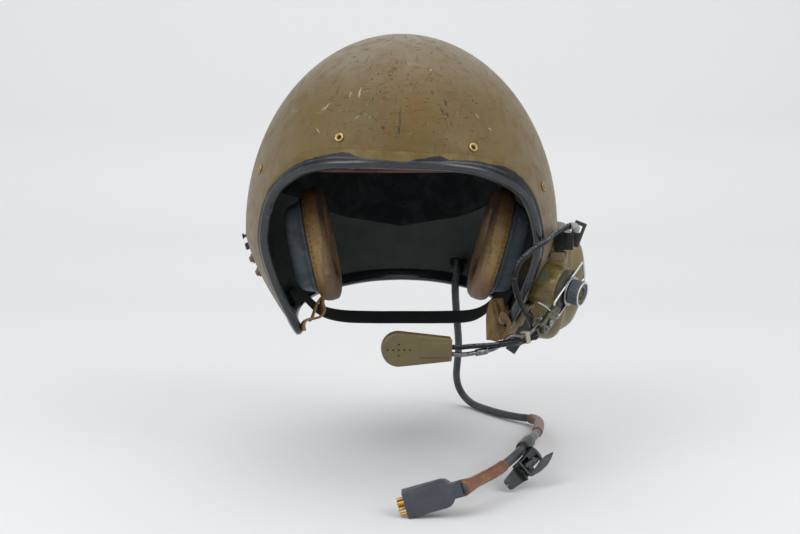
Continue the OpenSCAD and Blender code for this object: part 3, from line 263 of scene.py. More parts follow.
# marks seen on the shell's front: x, z, width, height in mm, turn, share and colour
SHELL_MARKS = (
    (-1.4, 43.5, 1.1, 19, 3, 0.9, CHIP), (-2.2, 35, 2.2, 7, 0, 0.9, CHIP),
    (-2.6, 30.5, 3.0, 6, 20, 0.5, SCUFF), (-5.4, 80.5, 4.6, 2.2, 5, 0.95, CHIP),
    (-8.7, 75.6, 3.6, 2.2, 20, 0.9, CHIP), (22.4, 62.5, 2.8, 4.4, -30, 0.75, CHIP),
    (31.5, 54.8, 2.6, 6.4, -20, 0.95, CHIP), (29, 49.2, 2.4, 5.4, -28, 0.9, CHIP),
    (32.9, 46.2, 1.8, 5.2, -28, 0.85, CHIP), (35.9, 39.6, 1.1, 8, -25, 0.7, CHIP),
    (-65.2, 64.2, 6, 7.4, 40, 0.8, (84, 88, 66)), (-30.3, 62.5, 1.6, 8, 12, 0.9, PALE),
    (-37.3, 61.5, 1.2, 5, 20, 0.6, PALE), (-55, 52.2, 1.2, 7.4, 42, 0.9, PALE),
    (-58, 51, 1.0, 5, 40, 0.6, PALE), (-60.9, 35, 1.1, 5.4, -30, 0.7, PALE),
    (-32.2, 44.5, 1.3, 4.6, 50, 0.85, PALE), (-26, 46.4, 1.2, 4.2, 60, 0.7, PALE),
    (-22.7, 44.7, 1.2, 3.4, 20, 0.7, PALE), (-27, 47, 20, 17, 0, 0.75, (92, 82, 46)),
    (-13.2, 36.9, 4.4, 2.2, 10, 0.9, CHIP), (-22, 36.6, 5, 1.6, 10, 0.5, CHIP),
    (55.5, 45.5, 1.2, 4.4, -30, 0.7, PALE), (64.8, 36.4, 1.2, 4, -40, 0.6, PALE),
    (21.7, 79.7, 2.2, 1.8, 0, 0.9, PALE), (6, 84, 1.0, 4, 10, 0.6, PALE),
    (8, 66, 44, 34, 10, 0.3, (108, 78, 34)), (44, 60, 26, 44, -20, 0.3, (92, 70, 32)),
    (-50, 84, 1.3, 9, 50, 0.75, CHIP), (-62, 76, 1.2, 9, 48, 0.6, CHIP),
    (-30, 98, 8, 1.4, -14, 0.6, CHIP), (55, 84.7, 3, 2, 0, 0.9, CHIP),
    (14.7, 104.4, 10, 1.3, -4, 0.8, SCUFF), (20, 26, 26, 7, 4, 0.4, SCUFF),
    (-34, 28, 30, 6, -4, 0.35, SCUFF),
)


def shell_paint():
    """Worn olive paint: rubbed patches, scratches and chips down to the dark shell."""
    p = Paint("shell_paint", rough=0.42, spec=0.3)
    wander = p.node("ShaderNodeTexNoise", {"Vector": p.place, "Scale": 210.0, "Detail": 4.0,
                                           "Roughness": 0.65}).outputs["Color"]
    ragged = p.vector("MULTIPLY_ADD", 0, wander, (0.004, 0.004, 0.004), p.place)
    broad = p.noise(11, 4, 0.55, 0.8)
    rub = p.noise(46, 6, 0.62, 2.6, at=p.stretched((1, 1, 0.6)))
    tone = p.mix(p.step(broad, 0.36, 0.66), (97, 78, 39), (104, 85, 45))
    tone = p.mix(p.step(rub, 0.46, 0.7, 0, 0.45), tone, (86, 68, 32))
    tone = p.mix(p.step(p.noise(150, 6, 0.7, 3.0), 0.6, 0.74, 0, 0.3), tone, (122, 106, 68))
    # paler and greyer towards the crown and on both sides, dust together with a painted sheen; darker
    # brown over the middle of the forehead
    worn = p.step(p.noise(34, 5, 0.6, 1.2), 0.3, 0.7, 0.45, 0.85)
    high = p.step(p.part(2), 0.035, 0.112)
    aside = p.step(p.calc("ABSOLUTE", p.part(0)), 0.05, 0.12, 0, 0.65)
    tone = p.mix(p.times(p.calc("MAXIMUM", high, aside), worn), tone, (134, 126, 110))
    # the middle of the forehead is a deeper brown, in fine level and upright streaks
    middle = p.node("ShaderNodeMapping", {
        "Vector": ragged, "Location": (0.004, 0, 0.056), "Scale": (0.062, 1000.0, 0.05)},
        vector_type="TEXTURE").outputs[0]
    middle = p.times(p.step(p.vector("LENGTH", "Value", middle), 1.15, 0.3),
                     p.step(p.part(1), 0.0, -0.05))
    level = p.noise(1.0, 5, 0.7, 0.6, at=p.stretched((90, 90, 620)))
    upright = p.noise(1.0, 5, 0.7, 0.6, at=p.stretched((560, 560, 80)))
    weave = p.calc("MAXIMUM", p.step(level, 0.5, 0.66), p.step(upright, 0.56, 0.7))
    tone = p.mix(p.times(middle, p.calc("MULTIPLY_ADD", weave, 0.5, 0.25)), tone, (84, 62, 12))
    tone = p.mix(p.times(p.step(rub, 0.5, 0.68), 0.4), tone, (108, 76, 26))
    front = p.step(p.part(1), -0.02, -0.12)
    busy = p.times(front, p.step(p.part(2), 0.0, 0.03))

    def spot(x, z, wide, tall, turn, soft):
        """1 inside a ragged ellipse on the front of the shell, 0 outside; millimetres."""
        at = p.node("ShaderNodeMapping", {
            "Vector": ragged, "Location": (x * MM + 0.002, 0, z * MM + 0.002),
            "Rotation": (0, math.radians(turn), 0),
            "Scale": (wide * MM / 2, 1000.0, tall * MM / 2)}, vector_type="TEXTURE").outputs[0]
        return p.times(p.step(p.vector("LENGTH", "Value", at), 1.0 + soft, 1.0 - soft), front)

    for x, z, wide, tall, turn, share, tint in SHELL_MARKS:
        # a mark wider than 14 mm is a soft patch, the others are narrow and crisp
        wide, tall, soft = (wide, tall, 0.9) if wide > 14 else (0.75 * wide, 0.9 * tall, 0.35)
        tone = p.mix(p.times(spot(x, z, wide, tall, turn, soft), share), tone, tint)
    # fine light and dark scratches in several directions
    for turn, scale, bite, tint in (((0, 0, 20), (26, 26, 420), 0.7, (146, 132, 94)),
                                    ((35, 60, 0), (30, 420, 30), 0.715, (72, 62, 42)),
                                    ((0, -40, 70), (380, 26, 26), 0.72, (80, 68, 42))):
        line = p.noise(1.0, 3, 0.5, 0.4, at=p.stretched(scale, turn))
        gate = p.step(p.noise(38, 2, 0.5), 0.5, 0.62)
        share = p.times(p.step(line, bite, bite + 0.05, 0, 0.75), gate)
        share = p.times(share, p.calc("MULTIPLY_ADD", busy, 0.6, 0.4))
        tone = p.mix(share, tone, tint)
    # small chips, thickest over the forehead
    chips = p.noise(210, 4, 0.62, 1.4)
    limit = p.calc("MULTIPLY_ADD", busy, -0.03, 0.765)
    chip = p.calc("GREATER_THAN", p.times(chips, p.step(p.noise(28, 3), 0.45, 0.6, 0.82, 1.0)), limit)
    tone = p.mix(p.times(chip, 0.85), tone, (48, 50, 48))
    p.set("Roughness", p.step(rub, 0.35, 0.7, 0.4, 0.54))
    p.bump(p.noise(420, 4), 0.1, 0.0006)
    p.bump(p.times(chip, -1.0), 0.3, 0.0003)
    return p.colour(tone)


def trim_rubber():
    """Black rubber edging with the olive overpaint that is left along its outer edge."""
    p = Paint("edge_rubber")
    # depth: millimetres from the outer edge; paint: how far the overpaint reaches there
    level = p.calc("SUBTRACT", p.mark("paint"), p.mark("depth"))
    for scale, detail, span in ((17, 3, 2.4), (60, 6, 3.6), (300, 5, 1.6)):
        level = p.calc("ADD", level, p.calc("MULTIPLY_ADD", p.noise(scale, detail, 0.66, 1.0),
                                            span, -span / 2))
    keep = p.step(level, -0.15, 0.15)
    black = p.mix(p.step(p.noise(60, 5, 0.6, 1.0), 0.35, 0.7), (14, 19, 24), (28, 35, 42))
    black = p.mix(p.step(p.noise(240, 5, 0.7, 1.4), 0.55, 0.72, 0, 0.4), black, (74, 80, 80))
    black = p.mix(p.step(level, -2.5, 0.0, 0, 0.3), black, (60, 62, 50))
    # a thin pale line along the bead, between 5.6 and 7.6 mm deep and broken by noise, is a painted
    # highlight
    worn = p.times(p.step(p.mark("depth"), 5.6, 6.2), p.step(p.mark("depth"), 7.6, 7.0))
    worn = p.times(worn, p.step(p.noise(45, 4, 0.6), 0.35, 0.65, 0, 0.5))
    black = p.mix(worn, black, (98, 105, 112))
    paint = p.mix(p.step(p.noise(90, 5), 0.4, 0.65), (96, 79, 40), (108, 92, 54))
    p.set("Roughness", p.mark("dull"))
    p.set("Specular IOR Level", p.mark("gloss"))
    p.bump(p.noise(500, 4), 0.1, 0.0005)
    p.bump(keep, 0.35, 0.0003)
    return p.colour(p.mix(keep, black, paint))


def boss_paint():
    """Glossy olive moulding with brown stain streaks, a faded grey-green patch and a tiny painted
    highlight.
    """
    p = Paint("boss_plastic", rough=0.26, spec=0.55)
    tone = p.mix(p.step(p.noise(50, 5, 0.6, 1.0), 0.35, 0.7), (114, 99, 50), (96, 82, 40))
    streak = p.noise(1.0, 4, 0.6, 0.8, at=p.stretched((40, 60, 160), (0, 15, 30)))
    tone = p.mix(p.step(streak, 0.48, 0.68, 0, 0.75), tone, (66, 50, 24))
    tone = p.mix(p.step(p.noise(90, 5, 0.7, 1.5), 0.58, 0.72, 0, 0.5), tone, (150, 132, 76))
    # a faded grey-green patch, then a tiny near-white spot that is a painted highlight
    for at, size, tint in (((0.1085, -0.0565, -0.0755), 0.0065, (84, 94, 80)),
                           ((0.1197, -0.0633, -0.0798), 0.0007, (220, 220, 214))):
        far = p.calc("MULTIPLY_ADD", p.noise(220, 5, 0.7), size * 0.9,
                     p.vector("DISTANCE", "Value", p.place, at))
        tone = p.mix(p.step(far, size * 1.7, size * 1.2, 0, 0.9), tone, tint)
    p.bump(p.noise(900, 3), 0.1, 0.0003)
    return p.colour(tone)


def cable_rubber():
    """Black cable with pale specks painted as glints along its upper side."""
    p = Paint("black_cable", rough=0.14, spec=0.28)
    tone = p.mix(p.step(p.noise(90, 5, 0.6, 1.0), 0.35, 0.7), (8, 9, 11), (17, 19, 22))
    upper = p.step(p.part(2, p.coord.outputs["Normal"]), 0.35, 0.8)
    painted_glint = p.step(p.noise(900, 4, 0.75), 0.47, 0.6)
    tone = p.mix(p.times(painted_glint, upper), tone, (128, 130, 138))
    p.bump(p.noise(1300, 4, 0.7), 0.4, 0.0005)
    return p.colour(tone)


def foam(name, base, pale):
    p = Paint(name, rough=0.9, spec=0.25)
    tone = p.mix(p.step(p.noise(45, 5, 0.6, 1.0), 0.4, 0.7), base, pale)
    p.bump(p.noise(900, 4), 0.3, 0.0005)
    p.bump(p.noise(70, 3), 0.3, 0.0015)
    return p.colour(tone)


def painted_cushion_shade(p, crease, top, low):
    """Ear cushion leather with painted shade towards its top and its foot and in its creases."""
    tone = p.bsdf.inputs["Base Color"].links[0].from_socket
    ragged = p.calc("MULTIPLY_ADD", p.noise(40, 4, 0.6, 1.0), 0.03, p.part(2))
    tone = p.mix(p.step(ragged, -0.036, -0.01, 0, 0.9), tone, top)
    tone = p.mix(p.step(ragged, -0.045, -0.085, 0, 0.5), tone, low)
    tone = p.mix(p.step(crease, 0.0, 0.06, 0.45, 0), tone, top)
    p.bump(p.step(crease, 0.0, 0.1), 0.25, 0.0008)
    return p.colour(tone)


# every material under the name of its use
M = {}
M["shell"] = shell_paint()
M["inner"] = plastic("shell_inside", (72, 82, 78), (46, 54, 54), (92, 92, 76), 0.62)
M["trim"] = trim_rubber()
M["foam"] = foam("liner_foam", (24, 27, 29), (44, 48, 49))
M["band"] = leather("band_leather", (98, 58, 38), (60, 33, 22), (132, 88, 58))[0].mat
# the last two colours of each cushion leather are painted shade, at its top and at its foot
M["cushion"] = painted_cushion_shade(*leather("cushion_leather", (160, 132, 78), (134, 106, 58),
                              (178, 152, 100), rough=0.5), (98, 70, 42), (84, 62, 46))
M["cushion_face"] = painted_cushion_shade(*leather("cushion_face_leather", (140, 112, 76), (106, 82, 54),
                                   (156, 134, 112), rough=0.55), (60, 42, 32), (100, 78, 62))
M["strap"] = leather("tie_leather", (130, 104, 56), (88, 66, 34), (154, 128, 80))[0].mat
M["tan"] = leather("tan_leather", (152, 124, 74), (112, 86, 46), (172, 146, 96))[0].mat
M["cup"] = rubber("cup_rubber", (108, 118, 124), (82, 92, 100), (158, 164, 166), 0.5, 1.4, 0.7)
M["olive_web"] = webbing("crown_webbing", (84, 78, 56), (52, 48, 34))
M["dark_web"] = webbing("dark_webbing", (52, 55, 55), (26, 28, 30))
M["green_web"] = webbing("green_webbing", (72, 75, 73), (42, 45, 44))
M["dome"] = plastic("dome_plastic", (112, 96, 54), (86, 72, 38), (136, 122, 84), 0.36)
M["boss"] = boss_paint()
M["olive_metal"] = plastic("olive_painted_metal", (112, 98, 70), (84, 72, 46),
                           (136, 124, 96), 0.5)
M["mic"] = plastic("mic_plastic", (93, 82, 48), (76, 64, 34), (112, 101, 68), 0.34, scale=1.6)
M["cable"] = cable_rubber()
M["lead"] = rubber("lead_rubber", (62, 69, 72), (44, 50, 54), (92, 97, 98), 0.42, 2, 0.3)
M["black"] = plastic("black_plastic", (20, 22, 24), (11, 12, 13), (48, 50, 52), 0.3,
                     spec=0.3, scale=2)
# near-black: on the screw eyelets this is painted shade in their hollows
M["hole"] = plastic("dark_hollow", (20, 19, 17), (12, 12, 12), (30, 30, 28), 0.7)
M["plug"] = plastic("plug_plastic", (62, 67, 75), (42, 46, 53), (104, 108, 112), 0.4,
                    scale=2)
M["knob"] = plastic("knob_plastic", (70, 74, 80), (50, 53, 58), (104, 108, 112), 0.42,
                    scale=3)
M["washer"] = plastic("washer_fibre", (66, 62, 50), (42, 38, 30), (96, 88, 70), 0.5)
M["sleeve"] = plastic("pale_sleeve", (150, 152, 154), (104, 106, 108), (196, 196, 194),
                      0.45, scale=3)
M["eyelet"] = metal("eyelet_brass", (186, 156, 96), (96, 76, 44), 0.3, 3, grime=0.7)
M["old_brass"] = metal("dull_brass", (124, 98, 52), (64, 48, 26), 0.45, 3, grime=0.7)
M["contact"] = metal("contact_plating", (206, 164, 92), (132, 92, 44), 0.28, 2)
M["copper"] = metal("dull_copper", (138, 86, 58), (74, 42, 30), 0.42, 2)
M["steel"] = metal("worn_steel", (176, 178, 180), (104, 106, 108), 0.3, 1.5)
M["spring"] = metal("spring_wire", (120, 124, 126), (50, 53, 55), 0.35, 2, grime=0.6)
M["wire"] = metal("bright_wire", (208, 209, 210), (140, 142, 144), 0.22, 2, grime=0.3)
M["alu"] = metal("worn_aluminium", (132, 133, 132), (60, 61, 60), 0.3, 3, grime=0.85)
M["rim"] = metal("knob_rim_metal", (214, 215, 216), (150, 152, 154), 0.28, 2, grime=0.3)
M["plate"] = metal("rubbed_plate", (112, 111, 100), (40, 42, 35), 0.26, 3.5, grime=0.95)
M["bolt"] = metal("grimy_bolt", (150, 148, 142), (56, 55, 50), 0.24, 4, grime=0.85)
M["collar"] = plastic("collar_casting", (168, 158, 136), (126, 118, 98), (196, 190, 172),
                      0.5, scale=4)
M["dark_metal"] = plastic("dark_painted_metal", (52, 52, 46), (30, 31, 29),
                          (96, 94, 82), 0.45, scale=3, worn=0.6)
M["clip"] = plastic("clip_black_paint", (40, 44, 43), (22, 25, 25), (84, 88, 86), 0.42,
                    scale=3, worn=0.5)
for key, tint, rough in (("scratch_dark", (76, 60, 28), 0.6),
                         ("scratch_pale", (136, 120, 78), 0.5), ("chip_dark", (46, 42, 28), 0.5)):
    M[key] = Paint(key, rough=rough, spec=0.3).colour(tint)
M["thread"] = plastic("thread", (96, 80, 46), (66, 54, 30), (120, 104, 66), 0.8)


def tape_paint():
    """Copper-brown tape wound in turns, with paler orange streaks along it as a painted sheen."""
    p = Paint("brown_tape", rough=0.42)
    along = p.part(0, p.uv)
    around = p.part(1, p.uv)
    turn = p.calc("FRACT", p.calc("ADD", p.times(along, 95.0), around))
    tone = p.mix(p.step(p.noise(60, 5, 0.6, 1.0), 0.35, 0.7), (92, 56, 34), (128, 82, 50))
    tone = p.mix(p.step(p.noise(1.0, 4, 0.6, 0.5, at=p.stretched((60, 6, 1), source=p.uv)),
                        0.58, 0.7, 0, 0.8), tone, (190, 122, 56))
    tone = p.mix(p.step(turn, 0.0, 0.14, 0.35, 0), tone, (66, 40, 28))
    p.bump(p.step(turn, 0.0, 0.2), 0.3, 0.0004)
    return p.colour(tone)


M["tape"] = tape_paint()


# mesh helpers
def make(name, verts, faces, mat, body="helmet", node=None, uvs=None, marks=None, mats=None,
         face_mats=None, angle=None):
    """A piece from points in millimetres; one named after a node, NODE_piece, replaces it."""
    mesh = bpy.data.meshes.new(name)
    mesh.from_pydata([tuple(c * MM for c in v) for v in verts], [], faces)
    mesh.validate()
    for m in (mats or [mat]):
        mesh.materials.append(M[m])
    if face_mats:
        mesh.polygons.foreach_set("material_index", face_mats)
    if uvs:
        layer = mesh.uv_layers.new(name="UVMap")
        for loop in mesh.loops:
            layer.data[loop.index].uv = uvs[loop.vertex_index]
    for key, values in (marks or {}).items():
        mesh.attributes.new(key, "FLOAT", "POINT").data.foreach_set("value", values)
    mesh.polygons.foreach_set("use_smooth", [True] * len(mesh.polygons))
    if angle is not None:
        mesh.set_sharp_from_angle(angle=math.radians(angle))
    ob = add(name, mesh)
    if body:
        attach(ob, body)
    node = node or name.removesuffix("_piece")
    if node != name:
        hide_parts(node)
    return ob


def ring_faces(n, rings, loop=False):
    """Quads between neighbouring rings with n points each."""
    out = []
    for j in range(rings if loop else rings - 1):
        for i in range(n):
            a, b = j * n + i, j * n + (i + 1) % n
            d, c = ((j + 1) % rings) * n + i, ((j + 1) % rings) * n + (i + 1) % n
            out.append((a, b, c, d))
    return out


def end_faces(n, rings):
    """The two end caps of a row of rings with n points each."""
    return [tuple(range(n - 1, -1, -1)), tuple((rings - 1) * n + i for i in range(n))]


def loft(name, rings, mat, loop=False, flip=False, **more):
    n = len(rings[0])
    faces = ring_faces(n, len(rings), loop)
    if not loop:
        faces += end_faces(n, len(rings))
    if flip:
        faces = [tuple(reversed(f)) for f in faces]
    return make(name, [p for r in rings for p in r], faces, mat, **more)


def mix(a, b, t):
    return a + (b - a) * t


def bend(p0, p1, p2, p3, t):
    return [0.5 * (2 * b + (c - a) * t + (2 * a - 5 * b + 4 * c - d) * t * t
                   + (3 * b - a - 3 * c + d) * t ** 3) for a, b, c, d in zip(p0, p1, p2, p3)]


def smooth(pts, k):
    at = lambda i: pts[min(max(i, 0), len(pts) - 1)]
    out = [bend(at(i - 1), pts[i], pts[i + 1], at(i + 2), j / k)
           for i in range(len(pts) - 1) for j in range(k)]
    return out + [list(pts[-1])]


def carried(path, start, loop=False):
    """Directions and carried side vectors along a path."""
    pts = [V(p) for p in path]
    n = len(pts)
    t = [((pts[(i + 1) % n] - pts[i - 1]) if loop else
          (pts[min(i + 1, n - 1)] - pts[max(i - 1, 0)])).normalized() for i in range(n)]
    side, v = [], V(start)
    for d in t:
        v = (v - v.dot(d) * d).normalized()
        side.append(v)
    return pts, t, side


def sweep(name, path, section, start, mat, loop=False, scale=None, flat=False, **more):
    """section: points across (along the start vector) and aside, in millimetres."""
    pts, t, side = carried(path, start, loop)
    verts, uvs, run = [], [], 0.0
    around = [0.0]
    for a, b in zip(section, section[1:]):
        around.append(around[-1] + math.dist(a, b))
    whole = around[-1] + math.dist(section[-1], section[0])
    for i, p in enumerate(pts):
        if i:
            run += (p - pts[i - 1]).length
        k = scale(i / (len(pts) - 1)) if scale else 1.0
        w = t[i].cross(side[i])
        for s, u in zip(section, around):
            verts.append(p + s[0] * k * side[i] + s[1] * k * w)
            uvs.append((run * MM, s[1] * MM if flat else u / whole))
    n = len(section)
    faces = ring_faces(n, len(pts), loop)
    if not loop:
        faces += end_faces(n, len(pts))
    return make(name, verts, faces, mat, uvs=uvs, **more)


def circle(r, n):
    return [(r * cos(360 * i / n), r * sin(360 * i / n)) for i in range(n)]


def tube(name, path, d, mat, sides=14, start=(0, 0, 1), **more):
    return sweep(name, path, circle(d / 2, sides), start, mat, **more)


def band(w, t):
    """A strap's section: width w, thickness t, rounded edges, slightly crowned."""
    r, n, out = 0.4, 10, []
    for s in (-1, 1):
        for k in range(n + 1):
            y = s * (w / 2 - r) * (1 - 2 * k / n)
            out.append((s * -t / 2 * (1 - 0.06 * (2 * y / w) ** 2), y))
        out.append((0, -s * w / 2))
    return out


def strap(name, path, w, t, start, mat, **more):
    return sweep(name, path, band(w, t), start, mat, flat=True, **more)


def in_order(elements, key):
    """Sorts points or faces, because a bevel leaves them in no fixed order."""
    rank = {e: i for i, e in enumerate(sorted(elements, key=key))}
    elements.sort(key=rank.get)
    elements.index_update()


def bevelled(node, mat, width, segments=2, sharp=32, body="helmet", slim=None):
    """A copy of a CAD piece with rounded edges; slim: a root, an axis, shares across and along."""
    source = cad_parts[node]
    bm = bmesh.new()
    bm.from_mesh(source.data)
    if slim:
        root, axis, across, length = slim
        for v in bm.verts:
            p = v.co / MM - root
            run = p.dot(axis)
            v.co = (root + across * (p - run * axis) + length * run * axis) * MM
    bmesh.ops.remove_doubles(bm, verts=bm.verts, dist=1e-6)
    bmesh.ops.dissolve_limit(bm, angle_limit=math.radians(1), verts=bm.verts, edges=bm.edges)
    edges = [e for e in bm.edges if len(e.link_faces) == 2
             and e.calc_face_angle(0) > math.radians(sharp)]
    bmesh.ops.bevel(bm, geom=edges, offset=width * MM, segments=segments, profile=0.5,
                    affect="EDGES", clamp_overlap=True)
    bmesh.ops.triangulate(bm, faces=bm.faces)
    in_order(bm.verts, lambda v: v.co[:])
    in_order(bm.faces, lambda f: sorted(v.index for v in f.verts))
    mesh = bpy.data.meshes.new(node + "_piece")
    bm.to_mesh(mesh)
    bm.free()
    mesh.materials.append(M[mat])
    mesh.polygons.foreach_set("use_smooth", [True] * len(mesh.polygons))
    mesh.polygons.foreach_set("material_index", [0] * len(mesh.polygons))
    mesh.set_sharp_from_angle(angle=math.radians(34))
    ob = add(node + "_piece", mesh)
    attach(ob, body)
    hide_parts(node)
    return ob


def dress(node, mat):
    """A CAD piece that stays gets its material."""
    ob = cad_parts[node]
    for slot in ob.material_slots:
        slot.material = M[mat]
    if not ob.material_slots:
        ob.data.materials.append(M[mat])


# the main lead, before all other pieces
PLUG_AT, PLUG_PITCH = (2.2, -153.5, -227.1), 16
GLAND = (51.4146, 106.797, -86.5237)


def in_plug(x, y=0.0, z=0.0):
    return (PLUG_AT[0] + x * cos(PLUG_PITCH) - z * sin(PLUG_PITCH), PLUG_AT[1] + y,
            PLUG_AT[2] + x * sin(PLUG_PITCH) + z * cos(PLUG_PITCH))


top = V(GLAND) - V((0, 0, 6.02))
lead_points = [top - V((0, 0, 2.5)), top + V((-1, -1, -8)), top + V((-1.5, -1, -17)),
               top + V((0, 6, -38)), (55, 136, -168), (54.5, 162, -203), (60, 174, -222),
               (70, 167, -231.5), (83.5, 144.5, -232.4), (97.2, 125, -232), (110, 109.5, -231),
               (121, 99, -230), (125.4, 79, -228), (117.8, 22, -220.3), (109.5, -18, -214.4),
               (102.1, -46, -211.2), (93.8, -71, -210.7), (84.9, -89, -212.5),
               (75.5, -108.6, -213), (67.9, -120.4, -214), (57.3, -134, -215), in_plug(44.5)]
lead_route = [top] + smooth(lead_points, 9) + [in_plug(42.02)]
main_lead = tube("main_lead_cord", lead_route, 7, "lead", 20, (1, 0, 0), node="main_lead")


def stretch(first, last):
    """Part of the lead's route, counted as part.scad counts its rings."""
    return lead_route[1 + (first - 1) * 3:2 + (last - 1) * 3]


TURNS_PER_MM = 0.11


def wound(name, path, d, d_last):
    """Tape wound round the lead: overlapping turns with a small step at each."""
    n, length = 28, sum(math.dist(a, b) for a, b in zip(path, path[1:]))
    fine = smooth(path, max(1, round(length / len(path) / 0.7)))
    pts, t, side = carried(fine, (1, 0, 0))
    verts, uvs, run = [], [], 0.0
    for i, p in enumerate(pts):
        if i:
            run += (p - pts[i - 1]).length
        w = t[i].cross(side[i])
        flare = max(0.0, (run - length * 0.72) / (length * 0.28)) ** 1.5
        r = mix(d, d_last, flare) / 2
        for k in range(n):
            a = 360 * k / n
            f = (run * TURNS_PER_MM + k / n) % 1.0
            step = 0.12 * (1 - f) ** 0.7 if f > 0.06 else 0.12 * f / 0.06
            wob = 0.05 * sin(a * 3 + run * 31) + 0.04 * sin(a * 5 - run * 53)
            rr = r - 0.35 + step + wob
            verts.append(p + rr * (cos(a) * side[i] + sin(a) * w))
            uvs.append((run * MM, k / n))
    faces = ring_faces(n, len(pts)) + end_faces(n, len(pts))
    return make(name, verts, faces, "tape", uvs=uvs)


tape_a = wound("tape_upper_piece", stretch(34, 41), 9.6, 9.6)
tape_b = wound("tape_lower_piece", stretch(55, 63) + [in_plug(42.6)], 9.4, 12.8)
CLIP_X = V((-0.67, -0.56, -0.49)).normalized()
CLIP_Z = CLIP_X.cross(V((0.66, -0.076, -0.746))).normalized()
CLIP_Y = CLIP_Z.cross(CLIP_X)
CLIP = V((97.9, -86, -218.3))
in_clip = lambda x, y, z: CLIP + x * CLIP_X + y * CLIP_Y + z * CLIP_Z
band_piece = tube("clip_band_piece", smooth(stretch(46, 49), 3), 10.9, "black", 28, (1, 0, 0),
                  scale=lambda s: 0.93 + 0.07 * min(1, 9 * s * (1 - s)))
foot = V(stretch(48, 48)[0]) + V((4.3, -1.2, -1.4))
tail = [foot + V((0.4, 3.5, 0)), foot, mix(foot, in_clip(-12.3, -3.2, -0.6), 0.5),
        in_clip(-12.3, -3.2, -0.6), in_clip(-12.3, 0.6, -0.6)]
tail_piece = strap("clip_band_tail", smooth(tail, 6), 6.2, 1.2, CLIP_X, "black")
plug = bevelled("plug_body", "plug", 1.1, 3)
clip_a = bevelled("clip_base", "clip", 0.3)
clip_b = bevelled("clip_lever", "clip", 0.3, body="lever")
dress("plug_contacts", "contact")
dress("clip_pin", "clip")
coil = [tuple(in_clip(-6.75 + 11.5 * i / 240, 3.05 * sin(12 * i), 3.05 * cos(12 * i)))
        for i in range(241)]
coil_piece = tube("clip_spring_piece", coil, 1.1, "spring", 8, CLIP_Z)
[tuple(c * MM for c in p) for p in lead_route]

# the shell's surface
HALF_W, FRONT, BACK, CROWN = 127, 140, 150, 158
WIDE_Z, DROP, NAPE_Z = -45, 79, -101
JAW, NAPE, WALL, STEP = 0.303, 0.14, 4, 2.4


def share(s, taper):
    return sin(s) if s <= 90 else 1 - taper * ((s - 90) * STEP / DROP) ** 1.45


def lean(az, s):
    if s <= 90:
        return 0.0
    k = (s - 90) * STEP / DROP
    return math.degrees(math.atan(1.45 * k ** 0.45 / DROP * (
        HALF_W * JAW * cos(az) ** 2 + BACK * NAPE * sin(az) ** 2)))


def skin(az, s, off):
    tip = lean(az, s)
    side = off * (sin(s) if s <= 90 else cos(tip))
    z = WIDE_Z + (CROWN + off) * cos(s) if s <= 90 else WIDE_Z - (s - 90) * STEP - off * sin(tip)
    return V(((HALF_W * share(s, JAW) + side) * cos(az),
              ((FRONT if sin(az) < 0 else BACK) * share(s, NAPE) + side) * sin(az), z))


def sink_of(z, off=0.0):
    if z >= WIDE_Z:
        return math.degrees(math.acos(min(1, (z - WIDE_Z) / (CROWN + off))))
    return 90 + (WIDE_Z - z) / STEP


def skin_at(az, z, off=0.0):
    return skin(az, sink_of(z, off), off)


def az_of(p):
    s = sink_of(p[2])
    return math.degrees(math.atan2(p[1] / ((FRONT if p[1] < 0 else BACK) * share(s, NAPE)),
                                   p[0] / (HALF_W * share(s, JAW))))


def outward(az, z):
    s = sink_of(z)
    a = skin(az, s + 0.5, 0) - skin(az, s - 0.5, 0)
    b = skin(az + 0.5, s, 0) - skin(az - 0.5, s, 0)
    return a.cross(b).normalized()


# the opening's edge from the brow down to the tip and back: angle, height, the edging's leg and
# how much of it the overpaint covers; both sides share the rear, and the wearer's right brow sits
# higher than the left
EDGE_REAR = [(-6, -122, 7, 0), (8, -117.1, 8, 0), (24, -112, 8, 0), (40, -107.9, 8, 0),
             (57, -104.5, 8, 0), (74, -101.9, 8, 0), (90, -101, 8, 0)]
EDGE_LEFT = [(-90, 12.2, 8, 7), (-78, 11.2, 8, 2), (-73, 10.6, 9, 5.5), (-62, 7, 10.5, 5),
             (-53, 0.5, 11.5, 2.5), (-46, -6.5, 11, 2), (-41, -15, 9, 2), (-37.5, -27, 7, 1),
             (-35, -42, 6, 1), (-32.5, -60, 6, 1), (-30.5, -80, 6, 0.5), (-27.5, -98, 6, 0.5),
             (-23, -112, 6, 0), (-19, -121, 6, 0), (-14, -124, 6, 0)] + EDGE_REAR
EDGE_RIGHT = [(-90, 12.2, 8, 7), (-76, 12.6, 9.5, 6.5), (-71, 12.2, 10.5, 3), (-63, 11.4, 11, 4),
              (-53, 7.4, 10.5, 5.5), (-46, 1, 9.5, 5), (-39.5, -9, 7.5, 4), (-35.5, -22, 6, 3),
              (-33.5, -40, 6, 2.5), (-32, -60, 6, 2), (-30.5, -80, 6, 1.5), (-28.5, -98, 6, 1),
              (-26, -112, 6, 0.5), (-22.5, -121, 6, 0), (-16, -124, 6, 0)] + EDGE_REAR


def both_sides(left, right=None):
    """The whole rim from two halves; the third value turns evenly round the crown."""
    def tagged(half):
        p = [skin_at(e[0], e[1]) for e in half]
        run = [0.0]
        for a, b in zip(p, p[1:]):
            run.append(run[-1] + (b - a).length)
        return [(e[0], e[1], -90 + 180 * r / run[-1], *e[2:]) for e, r in zip(half, run)]
    h, other = tagged(left), tagged(right or left)
    return h + [(180 - e[0], e[1], 180 - e[2], *e[3:]) for e in reversed(other[1:-1])]


RIM = both_sides(smooth(EDGE_LEFT, 9), smooth(EDGE_RIGHT, 9))


